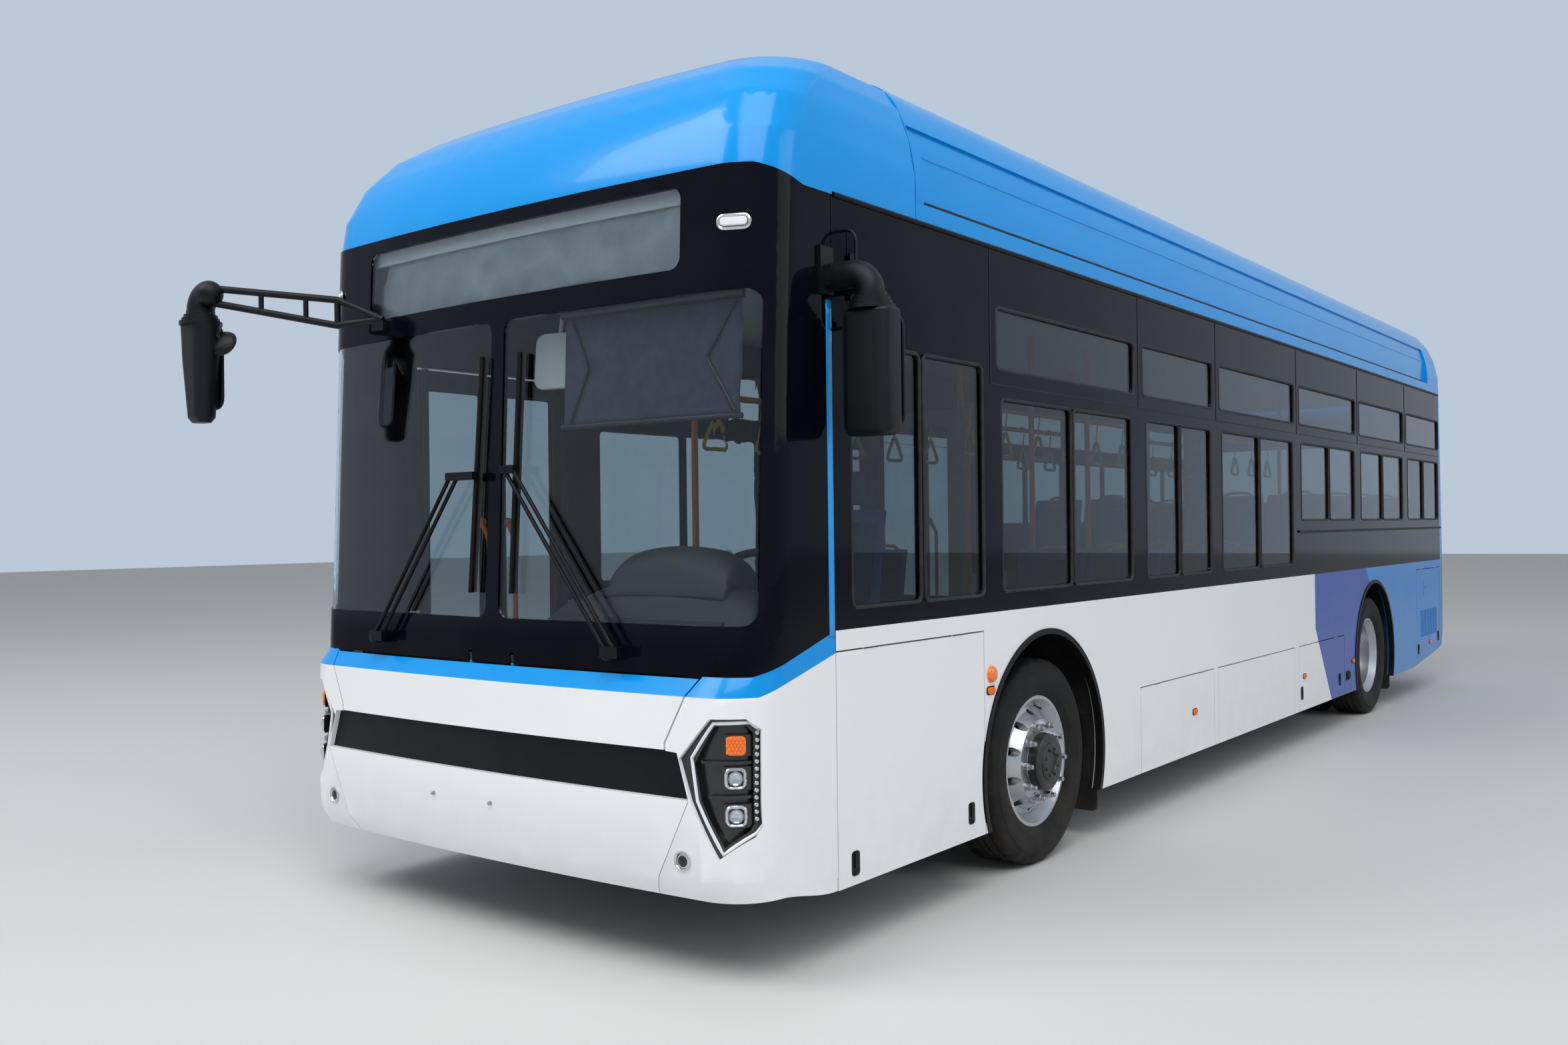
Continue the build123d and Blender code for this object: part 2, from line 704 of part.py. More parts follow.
def box_tool(y_axle, low, grow):
    """Rounded wheel box profile as a prism on the driver's side."""
    with BuildPart() as solid:
        with BuildSketch(Plane.YZ.offset(box_in + (box_wall if grow < 0 else 0))) as face:
            with Locations((y_axle, (low + box_top_z + grow) / 2)):
                Rectangle(2 * (box_half + grow), box_top_z + grow - low)
            fillet(face.vertices().sort_by(Axis.Y)[-2:], 280 + grow)
        extrude(amount=in_width - box_in - (box_wall if grow < 0 else 0))
    return solid.part


box_rows = [(y_axle_front, floor_z - floor_thick), (y_axle_rear, rear_floor_z - floor_thick)]
with BuildPart() as wheel_boxes:
    for y_axle, low in box_rows:
        add(box_tool(y_axle, low, 0))
        add(box_tool(y_axle, low - 10, -box_wall), mode=Mode.SUBTRACT)
    mirror(about=Plane.YZ)
pieces["wheel_boxes"] = wheel_boxes.part

with BuildPart() as saloon_floor:
    add(prism_x(floor_line, -in_width, in_width))
    add(block(-1000, 1000, y_front + 140, y_nose, floor_z - floor_thick, floor_z))
    for y_axle, low in box_rows:
        add(block(box_in, in_width, y_axle - box_half, y_axle + box_half, low - 60, box_top_z),
            mode=Mode.SUBTRACT)
        add(block(-in_width, -box_in, y_axle - box_half, y_axle + box_half, low - 60, box_top_z),
            mode=Mode.SUBTRACT)
pieces["saloon_floor"] = saloon_floor.part

# Underframe: cross bearers and tail rails under the floor
bearer_rows = [1000, 1500, 3100, 3700, 4300, 4900, 5500, 6050]
with BuildPart() as underframe:
    for start in bearer_rows:
        add(block(-1100, 1100, y_front + start, y_front + start + 70, floor_z - floor_thick - 46,
                  floor_z - floor_thick))
    for side in (-1, 1):
        add(block(side * 300 - 40, side * 300 + 40, step_y + floor_thick, y_tail - 40,
                  rear_floor_z - floor_thick - 90, rear_floor_z - floor_thick))
pieces["underframe"] = underframe.part

with BuildPart() as drive_motor:
    add(block(-230, 230, y_axle_rear + 700, y_axle_rear + 1650, 330, rear_floor_z - floor_thick))
    chamfer(drive_motor.edges().filter_by(Axis.Y).sort_by(Axis.Z)[:2], 90)
pieces["drive_motor"] = drive_motor.part

# Front axle, springs and steered knuckles
spring_top_z = box_top_z - box_wall
with BuildPart() as front_axle:
    add(block(-680, 680, y_axle_front - 60, y_axle_front + 60, 165, 262))
    for side in (-1, 1):
        x0 = min(side * 590, side * 790)
        add(block(x0, x0 + 200, y_axle_front - 60, y_axle_front + 60, 165, 530))
        x1 = min(side * 700, side * kingpin_x)
        add(block(x1, x1 + kingpin_x - 700, y_axle_front - 38, y_axle_front + 38, hub_z - 40, hub_z + 40))
        with Locations((side * kingpin_x, y_axle_front, hub_z)):
            Cylinder(45, 116)
            Cylinder(25.4, 130, mode=Mode.SUBTRACT)
pieces["front_axle"] = front_axle.part

with BuildPart() as knuckle_left:
    for low in (hub_z - 104, hub_z + 64):
        with Locations((kingpin_x, y_axle_front, low + 20)):
            Cylinder(42, 40)
        add(block(kingpin_x, kingpin_x + 65, y_axle_front - 42, y_axle_front + 42, low, low + 40))
    with Locations((kingpin_x, y_axle_front, hub_z)):
        Cylinder(25, 208)
    add(block(kingpin_x + 51, kingpin_x + 65, y_axle_front - 60, y_axle_front + 60, hub_z - 104, hub_z + 104))
    add(rod((kingpin_x + 60, y_axle_front, hub_z), (wheel_x + 108, y_axle_front, hub_z), 40))
pieces["knuckle_left"] = knuckle_left.part
pieces["knuckle_right"] = mirror(knuckle_left.part, about=Plane.YZ)

# Rear axle with its two springs
spring_seat_z = hub_z + 76
hub_cap_in = 60
axle_end_x = wheel_x - hub_cap_in - running_gap
with BuildPart() as rear_axle:
    add(rod((-wheel_x + 500, y_axle_rear, hub_z), (wheel_x - 500, y_axle_rear, hub_z), 70))
    add(rod((-axle_end_x, y_axle_rear, hub_z), (axle_end_x, y_axle_rear, hub_z), 58))
    with Locations((0, y_axle_rear, hub_z)):
        Sphere(180)
    add(rod((0, y_axle_rear + 100, hub_z), (0, y_axle_rear + 700, hub_z), 60))
    for side in (-1, 1):
        add(block(side * 470 - 90, side * 470 + 90, y_axle_rear - 90, y_axle_rear + 90, hub_z, spring_seat_z))
pieces["rear_axle"] = rear_axle.part

with BuildPart() as air_springs:
    for side in (-1, 1):
        add(rod((side * 690, y_axle_front, 530), (side * 690, y_axle_front, 820), 98))
        add(rod((side * 690, y_axle_front, 820), (side * 690, y_axle_front, spring_top_z), 55))
        add(rod((side * 470, y_axle_rear, spring_seat_z),
                (side * 470, y_axle_rear, rear_floor_z - floor_thick), 88))
pieces["air_springs"] = air_springs.part

# Wheels: rims turned about X, outboard side positive
rim_section = [
    (105, rim_radius), (98, rim_radius), (92, 284), (50, 264), (-50, 264), (-92, 284),
    (-98, rim_radius), (-105, rim_radius), (-105, 284), (-56, 250), (56, 250), (105, 284),
]
front_disc = [
    (30, 256), (50, 256), (64, 226), (124, 192), (124, 132), (166, 126), (172, 96), (172, 0),
    (118, 0), (118, 40 + running_gap), (-70, 40 + running_gap), (-70, 92), (96, 104), (96, 178), (44, 214),
]
rear_disc = [
    (-44, 256), (-18, 256), (-134, 196), (-134, 132), (-66, 126), (-hub_cap_in, 112),
    (-hub_cap_in, 58 + running_gap), (-twin_pitch - 40, 58 + running_gap), (-twin_pitch - 40, 120),
    (-186, 132), (-186, 200), (-twin_pitch + 18, 256), (-twin_pitch + 44, 256), (-174, 208), (-146, 208),
]


def turned(points):
    """Solid of revolution about X from axial and radial points."""
    with BuildPart() as solid:
        with BuildSketch():
            with BuildLine():
                Polyline(*points, close=True)
            make_face()
        revolve(axis=Axis.X)
    return solid.part


kerb_wheel_turn = 12


def wheel_place(side, y_axle):
    """Place of a wheel on one side; the kerb side's wheels have rolled a little further."""
    if side > 0:
        return Location((wheel_x, y_axle, hub_z))
    return Location((-wheel_x, y_axle, hub_z), (kerb_wheel_turn, 0, 180))


stud_circle = 335 / 2
stud_count = 10
stud_radius = 11
with BuildPart() as front_wheel:
    add(turned(rim_section))
    add(turned(front_disc))
    with Locations(Location((60, 0, 0), (0, 90, 0))):
        with PolarLocations(214, stud_count):
            Cylinder(20, 140, mode=Mode.SUBTRACT)
    with Locations(Location((138, 0, 0), (0, 90, 0))):
        with PolarLocations(stud_circle, stud_count, start_angle=18):
            Cylinder(stud_radius, 64)
with BuildPart() as rear_wheel:
    add(turned(rim_section))
    with Locations((-twin_pitch, 0, 0)):
        add(turned(rim_section))
    add(turned(rear_disc))
    with Locations(Location((-100, 0, 0), (0, 90, 0))):
        with PolarLocations(226, stud_count):
            Cylinder(19, 260, mode=Mode.SUBTRACT)
    with Locations(Location((-122, 0, 0), (0, 90, 0))):
        with PolarLocations(stud_circle, stud_count, start_angle=18):
            Cylinder(stud_radius, 64)
    add(rod((-hub_cap_in, 0, 0), (-26, 0, 0), 108))

half_tread = tyre_width / 2
bead_x = 108
bead_radius = rim_radius + running_gap
tyre = turned([
    (-bead_x, bead_radius), (bead_x, bead_radius), (half_tread, 385), (half_tread - 16, tyre_radius - 18),
    (half_tread - 36, tyre_radius), (36 - half_tread, tyre_radius), (16 - half_tread, tyre_radius - 18),
    (-half_tread, 385),
])

for side, tag in ((1, "left"), (-1, "right")):
    front_place = wheel_place(side, y_axle_front)
    rear_place = wheel_place(side, y_axle_rear)
    pieces["wheel_front_" + tag] = front_wheel.part.moved(front_place)
    pieces["tyre_front_" + tag] = tyre.moved(front_place)
    pieces["wheel_rear_" + tag] = rear_wheel.part.moved(rear_place)
    with BuildPart() as twin_tyres:
        for shift in (0, -twin_pitch):
            add(tyre.moved(rear_place * Location((shift, 0, 0))))
    pieces["tyre_rear_" + tag] = twin_tyres.part

# Roof units between the fairings
unit_rows = [
    # start, end, half width, height
    (1500, 3000, 720, 330),
    (3060, 4560, 720, 330),
    (7300, 8800, 720, 330),
]
with BuildPart() as battery_packs:
    for start, end, wide, tall in unit_rows:
        with Locations((0, y_front + (start + end) / 2, band_top_z + tall / 2)):
            Box(2 * wide, end - start, tall)
    chamfer(battery_packs.edges().filter_by(Axis.Y).group_by(Axis.Z)[-1], 40)
pieces["battery_packs"] = battery_packs.part
with BuildPart() as climate_unit:
    with Locations((0, y_front + 5900, band_top_z + 190)):
        Box(1500, 2300, 380)
    fillet(climate_unit.edges().group_by(Axis.Z)[-1], 90)
    for row in range(3):
        with Locations((0, y_front + 5200 + row * 700, band_top_z + 380)):
            Cylinder(240, 60, mode=Mode.SUBTRACT)
pieces["climate_unit"] = climate_unit.part

# Seats
seat_profile = [
    (-215, 0), (170, 0), (215, 60), (300, 640), (255, 660), (160, 90), (-205, 85), (-230, 40),
]
seat_wide = 425
seat_rows = [
    # x, distance from the front, foot height
    (520, 3560, floor_z), (970, 3560, floor_z),
    (520, 4340, floor_z), (970, 4340, floor_z),
    (520, 5120, floor_z), (970, 5120, floor_z),
    (-970, 3260, floor_z), (-970, 4020, floor_z),
    (520, 6750, rear_floor_z), (970, 6750, rear_floor_z),
    (-520, 6750, rear_floor_z), (-970, 6750, rear_floor_z),
    (970, 7800, box_top_z), (970, 8480, box_top_z),
    (-970, 7800, box_top_z), (-970, 8480, box_top_z),
    (520, 9250, rear_floor_z), (970, 9250, rear_floor_z),
    (-520, 9250, rear_floor_z), (-970, 9250, rear_floor_z),
    (-940, 10150, rear_floor_z), (-470, 10150, rear_floor_z), (0, 10150, rear_floor_z),
    (470, 10150, rear_floor_z), (940, 10150, rear_floor_z),
]
seat_rise = box_top_z - rear_floor_z + 6
with BuildPart() as passenger_seats:
    for x, start, foot in seat_rows:
        base = rear_floor_z if foot == box_top_z else foot
        cushion = base + seat_rise
        outline = [(y_front + start + y, cushion + z) for y, z in seat_profile]
        add(prism_x(outline, x - seat_wide / 2, x + seat_wide / 2))
        add(block(x - 60, x + 60, y_front + start - 90, y_front + start + 90, foot, cushion))

# Driver's place
driver_x = 640
with BuildPart() as driver_seat:
    outline = [(y_front + 1240 + y, 980 + z) for y, z in seat_profile]
    add(prism_x(outline, driver_x - 250, driver_x + 250))
    add(block(driver_x - 120, driver_x + 120, y_front + 1100, y_front + 1380, 560, 980))
    add(block(driver_x - 130, driver_x + 130, y_front + 1490, y_front + 1540, 1640, 1800))
with BuildPart() as seats:
    add(passenger_seats.part)
    add(driver_seat.part)
pieces["seats"] = seats.part

dash_line = [(190, 900), (190, 1215), (330, 1290), (520, 1240), (560, 1120), (560, floor_z), (330, floor_z)]
with BuildPart() as dashboard:
    add(prism_x([(y_front + y, z) for y, z in dash_line], 180, 1040))
    add(prism_x([(y_front + y, z) for y, z in
                 [(190, 900), (190, 1165), (300, 1165), (360, 1050), (360, floor_z), (260, floor_z)]],
                -1000, 180))

with BuildPart() as steering_wheel:
    with Locations(Location((driver_x, y_front + 760, 1330), (35, 0, 0))):
        Torus(225, 17)
        Box(430, 44, 18)
        Cylinder(55, 40)
    add(rod((driver_x, y_front + 560, 1046), (driver_x, y_front + 760, 1330), 34))
    add(dashboard.part, mode=Mode.SUBTRACT)
pieces["steering_wheel"] = steering_wheel.part

with BuildPart() as driver_partition:
    add(block(150, half_width - wall, y_front + 1586, y_front + 1612, floor_z, 2050))
    add(block(230, half_width - wall - 70, y_front + 1580, y_front + 1620, 1260, 1980), mode=Mode.SUBTRACT)
with BuildPart() as driver_station:
    add(dashboard.part)
    add(driver_partition.part)
    add(block(330, half_width - wall, y_front + 620, y_front + 1560, floor_z, 560))
pieces["driver_station"] = driver_station.part

# Grab poles and rails
pole_rows = [
    (300, 3150, floor_z), (300, 4000, floor_z), (300, 4790, floor_z), (300, 5560, floor_z),
    (-380, 1700, floor_z), (-380, 3000, floor_z), (-380, 4420, floor_z), (-380, 6020, floor_z),
    (270, 7200, rear_floor_z), (-270, 7200, rear_floor_z), (270, 8900, rear_floor_z), (-270, 8900, rear_floor_z),
]
rail_z = 2230
with BuildPart() as grab_poles:
    for x, start, foot in pole_rows:
        add(rod((x, y_front + start, foot), (x, y_front + start, deck_low_z), 17))
    add(rod((300, y_front + 3150, rail_z), (300, y_front + 5560, rail_z), 16))
    add(rod((-380, y_front + 1700, rail_z), (-380, y_front + 6020, rail_z), 16))
    for x in (-270, 270):
        add(rod((x, y_front + 7200, rail_z), (x, y_front + 8900, rail_z), 16))
pieces["grab_poles"] = grab_poles.part

# Sign box behind the upper pane
with BuildPart() as sign_box:
    add(block(-900, 930, y_front + 215, y_front + 400, 2440, deck_low_z))
pieces["sign_box"] = sign_box.part

# Mirrors: a bracket, an elbow, a ribbed neck and a rounded head
neck_radius = 86
neck_line = [
    (0, 0), (neck_radius, 0), (neck_radius, 16), (76, 18), (76, 30),
    (68, 32), (68, 44), (58, 46), (58, 60), (0, 60),
]


def mirror_neck(x, y, z):
    """Ribbed neck turned about an upright axis, its foot at z."""
    with BuildPart() as neck:
        with BuildSketch(Plane.XZ):
            with BuildLine():
                Polyline(*neck_line, close=True)
            make_face()
        revolve(axis=Axis.Z)
    return neck.part.moved(Location((x, y, z)))


def elbow(x, y, z, bend_x, radius):
    """Quarter bend that rises from z and turns towards bend_x."""
    with BuildPart() as bend_part:
        with BuildSketch(Plane.XY.offset(z)):
            with Locations((x, y)):
                Circle(radius)
        revolve(axis=Axis((bend_x, y, z), (0, 1, 0)), revolution_arc=-90 if bend_x < x else 90)
    return bend_part.part


head_x = 1420
head_y = y_front + 590
head_top_z = 2322
with BuildPart() as mirror_left:
    with Locations((head_x, head_y, 2099)):
        Box(206, 122, 446)
    fillet(mirror_left.edges().filter_by(Axis.Z), 45)
    fillet(mirror_left.edges().group_by(Axis.Z)[-1], 18)
    fillet(mirror_left.edges().group_by(Axis.Z)[0], 36)
    add(mirror_neck(head_x, head_y, head_top_z - 4))
    add(elbow(head_x, head_y, head_top_z + 56, head_x - 75, 50))
    add(rod((half_width + 8, head_y, head_top_z + 131), (head_x - 75, head_y, head_top_z + 131), 50))
    add(block(half_width, half_width + 14, y_front + 508, y_front + 586, 2386, 2556))
    add(block(half_width + 10, half_width + 40, y_front + 530, head_y + 30,
              head_top_z + 95, head_top_z + 167))

arm_y = y_front - mirror_reach + neck_radius
arm_x = -1405
bend = (-985, y_front + 70)
root_x = -770
kerb_head_rows = [
    # height, width, depth, corner
    (2034, 90, 60, 28),
    (2056, 126, 92, 44),
    (2300, 176, 118, 56),
    (2452, 192, 124, 58),
]
with BuildPart() as mirror_right:
    for z, wide, deep, corner in kerb_head_rows:
        with BuildSketch(Plane.XY.offset(z)):
            with Locations((arm_x, arm_y)):
                RectangleRounded(wide, deep, corner)
    loft(ruled=True)
    add(mirror_neck(arm_x, arm_y, 2448))
    add(elbow(arm_x, arm_y, 2504, arm_x + 72, 56))
    with Locations((arm_x + 72, arm_y, 2576)):
        Sphere(56)
    for low, high in ((2540, 2450), (2600, 2560)):
        add(rod((arm_x + 72, arm_y, low), (bend[0], bend[1], high), 15))
        add(rod((bend[0], bend[1], high), (root_x, screen_y(root_x, 2460) + 6, 2462), 15))
    with Locations((bend[0], bend[1], 2560), (bend[0], bend[1], 2450)):
        Sphere(15)
    for share in (0.25, 0.6):
        x = bend[0] + (arm_x + 72 - bend[0]) * share
        y = bend[1] + (arm_y - bend[1]) * share
        add(rod((x, y, 2450 + 90 * share), (x, y, 2560 + 40 * share), 11))
    add(block(root_x - 40, root_x + 40, screen_y(root_x, 2430) - 24, screen_y(root_x, 2430) - 1, 2412, 2452))
    add(rod((bend[0], bend[1], 2450), (bend[0], bend[1], 2560), 13))
    add(windscreen_surround.part, mode=Mode.SUBTRACT)
    add(windscreen_glass.part, mode=Mode.SUBTRACT)
with BuildPart() as mirrors:
    add(mirror_left.part)
    add(mirror_right.part)
pieces["mirrors"] = mirrors.part

# Wipers: pivot, two parallel rods, blade
wiper_rows = [
    # pivot x, pivot z, joint x, joint z, blade x low, blade x high
    (655, 1120, 110, 1790, 138, 157),
    (-695, 1126, -210, 1773, -97, -59),
]
blade_low_z = 1320
blade_top_z = 2235
with BuildPart() as wipers:
    for px, pz, jx, jz, bx0, bx1 in wiper_rows:
        py = screen_y(px, pz)
        jy = screen_y(jx, jz)
        bx = bx0 + (bx1 - bx0) * (jz - blade_low_z) / (blade_top_z - blade_low_z)
        add(rod((px, py - 1.7, pz), (px, py - 50, pz), 26))
        add(block(px - 20, px + 66, py - 62, py - 36, pz - 14, pz + 26))
        for shift in (0, 46):
            add(rod((px + shift, py - 48, pz + 6), (jx + shift, jy - 48, jz), 8))
        add(block(min(bx, jx) - 16, max(bx, jx + 46) + 16, jy - 60, jy - 26, jz - 15, jz + 15))
        add(rod((bx0, screen_y(bx0, blade_low_z) - 24, blade_low_z),
                (bx1, screen_y(bx1, blade_top_z) - 24, blade_top_z), 10))
pieces["wipers"] = wipers.part

for name, piece in pieces.items():
    piece.label = name
    export_step(piece, f"parts/{name}.step")
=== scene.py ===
"""Looks of a low-entry electric city bus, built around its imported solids.

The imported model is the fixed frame: +Z up, the front faces -Y, +X is the
driver's side. Every added piece is made in that frame, in metres.
"""
from __future__ import annotations

import json
import logging
import math
from collections.abc import Callable, Sequence
from dataclasses import dataclass, field
from enum import Enum

import bmesh
import bpy
from mathutils import Matrix, Vector, noise
from mathutils.bvhtree import BVHTree

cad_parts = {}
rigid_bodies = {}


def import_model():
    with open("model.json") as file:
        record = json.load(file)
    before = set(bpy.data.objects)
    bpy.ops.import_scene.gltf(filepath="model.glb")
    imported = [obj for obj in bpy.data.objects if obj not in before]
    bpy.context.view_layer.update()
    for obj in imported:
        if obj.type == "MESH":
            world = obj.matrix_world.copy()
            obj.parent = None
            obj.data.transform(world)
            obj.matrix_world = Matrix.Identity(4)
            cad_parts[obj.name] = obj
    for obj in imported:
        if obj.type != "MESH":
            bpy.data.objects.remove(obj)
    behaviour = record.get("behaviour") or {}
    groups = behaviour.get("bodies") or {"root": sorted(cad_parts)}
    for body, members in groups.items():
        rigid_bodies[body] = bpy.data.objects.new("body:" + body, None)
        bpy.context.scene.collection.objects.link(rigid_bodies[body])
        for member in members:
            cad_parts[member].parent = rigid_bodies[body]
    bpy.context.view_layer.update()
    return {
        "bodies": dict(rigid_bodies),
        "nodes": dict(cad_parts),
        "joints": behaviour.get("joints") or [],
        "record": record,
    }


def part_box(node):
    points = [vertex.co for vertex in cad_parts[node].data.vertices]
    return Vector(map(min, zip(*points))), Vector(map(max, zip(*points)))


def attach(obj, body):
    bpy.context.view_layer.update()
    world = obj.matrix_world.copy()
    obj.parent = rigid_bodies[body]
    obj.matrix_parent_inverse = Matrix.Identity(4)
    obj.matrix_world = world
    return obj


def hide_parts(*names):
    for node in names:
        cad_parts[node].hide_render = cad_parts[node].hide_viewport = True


LOG = logging.getLogger("bus")
UP = Vector((0, 0, 1))
BACK = Vector((0, 1, 0))
ASIDE = Vector((1, 0, 0))

Colour = tuple[float, float, float, float]
Flat = tuple[float, float]
Triple = tuple[float, float, float]
Pair = tuple[Vector, Vector]
Probe = Callable[[float, float], Pair]
Feed = bpy.types.NodeSocket | float | Colour


def srgb(red: int, green: int, blue: int) -> Colour:
    """Linear colour of an 8-bit screen colour.

    Args:
        red: red, 0 to 255.
        green: green, 0 to 255.
        blue: blue, 0 to 255.

    Returns:
        The linear colour with full alpha.
    """
    parts = []
    for value in (red, green, blue):
        share = value / 255
        parts.append(share / 12.92 if share <= 0.04045 else ((share + 0.055) / 1.055) ** 2.4)
    return (parts[0], parts[1], parts[2], 1.0)


SKY = srgb(0, 148, 228)
TAIL_BLUE = srgb(44, 136, 214)
VIOLET = srgb(44, 82, 170)
WHITE = srgb(238, 240, 242)
# Black of the nose's middle field and of the flap hinge rods; on the rods it is also painted shade of the
# flap gaps.
HINGE_BLACK = srgb(12, 13, 18)
ROAD_DUST = srgb(150, 138, 120)


class Nodes:
    """Short hand for building one node tree."""

    def __init__(self, tree: bpy.types.NodeTree) -> None:
        """Keep the tree that nodes are added to."""
        self.tree = tree

    def add(self, kind: str, **values: object) -> bpy.types.Node:
        """Add a node and set its properties.

        Args:
            kind: the node's type name.
            **values: properties to set on it.

        Returns:
            The new node.
        """
        node = self.tree.nodes.new(kind)
        for name, value in values.items():
            setattr(node, name, value)
        return node

    def feed(self, socket: bpy.types.NodeSocket, value: Feed) -> None:
        """Link a socket to an input, or set the input's value."""
        if isinstance(value, bpy.types.NodeSocket):
            self.tree.links.new(value, socket)
        else:
            socket.default_value = value

    def math(self, operation: str, first: Feed, second: Feed = 0.0) -> bpy.types.NodeSocket:
        """Add a Math node and return its output."""
        node = self.add("ShaderNodeMath", operation=operation)
        self.feed(node.inputs[0], first)
        self.feed(node.inputs[1], second)
        return node.outputs[0]

    def ramp(self, value: Feed, low: float, high: float,
             start: float = 0.0, end: float = 1.0) -> bpy.types.NodeSocket:
        """Map a value from one span to another, clamped.

        Args:
            value: the value to map.
            low: where the first span starts.
            high: where the first span ends.
            start: result at low.
            end: result at high.

        Returns:
            The mapped value.
        """
        node = self.add("ShaderNodeMapRange", clamp=True)
        for socket, item in zip(node.inputs, (value, low, high, start, end)):
            self.feed(socket, item)
        return node.outputs[0]

    def above(self, value: Feed, edge: Feed) -> bpy.types.NodeSocket:
        """Mask that is 1 where a value is over an edge, with a soft hairline."""
        return self.ramp(self.math("SUBTRACT", value, edge), -0.0008, 0.0008)

    def mix(self, share: Feed, first: Feed, second: Feed) -> bpy.types.NodeSocket:
        """Mix two colours.

        Args:
            share: share of the second colour.
            first: the first colour.
            second: the second colour.

        Returns:
            The mixed colour.
        """
        node = self.add("ShaderNodeMix", data_type="RGBA")
        self.feed(node.inputs[0], share)
        self.feed(node.inputs[6], first)
        self.feed(node.inputs[7], second)
        return node.outputs[2]

    def noise(self, place: Feed, scale: Feed, detail: float = 3.0) -> bpy.types.NodeSocket:
        """Add noise.

        Args:
            place: where it is read.
            scale: how fine it is.
            detail: its number of octaves.

        Returns:
            The noise's value.
        """
        node = self.add("ShaderNodeTexNoise")
        self.feed(node.inputs["Vector"], place)
        self.feed(node.inputs["Scale"], scale)
        node.inputs["Detail"].default_value = detail
        return node.outputs["Fac"]

    def place(self) -> bpy.types.NodeSocket:
        """Return the point on the object, in the part's own frame."""
        return self.add("ShaderNodeTexCoord").outputs["Object"]

    def axes(self, place: Feed) -> tuple[bpy.types.NodeSocket, ...]:
        """Split a place into X, Y and Z."""
        node = self.add("ShaderNodeSeparateXYZ")
        self.feed(node.inputs[0], place)
        return tuple(node.outputs)


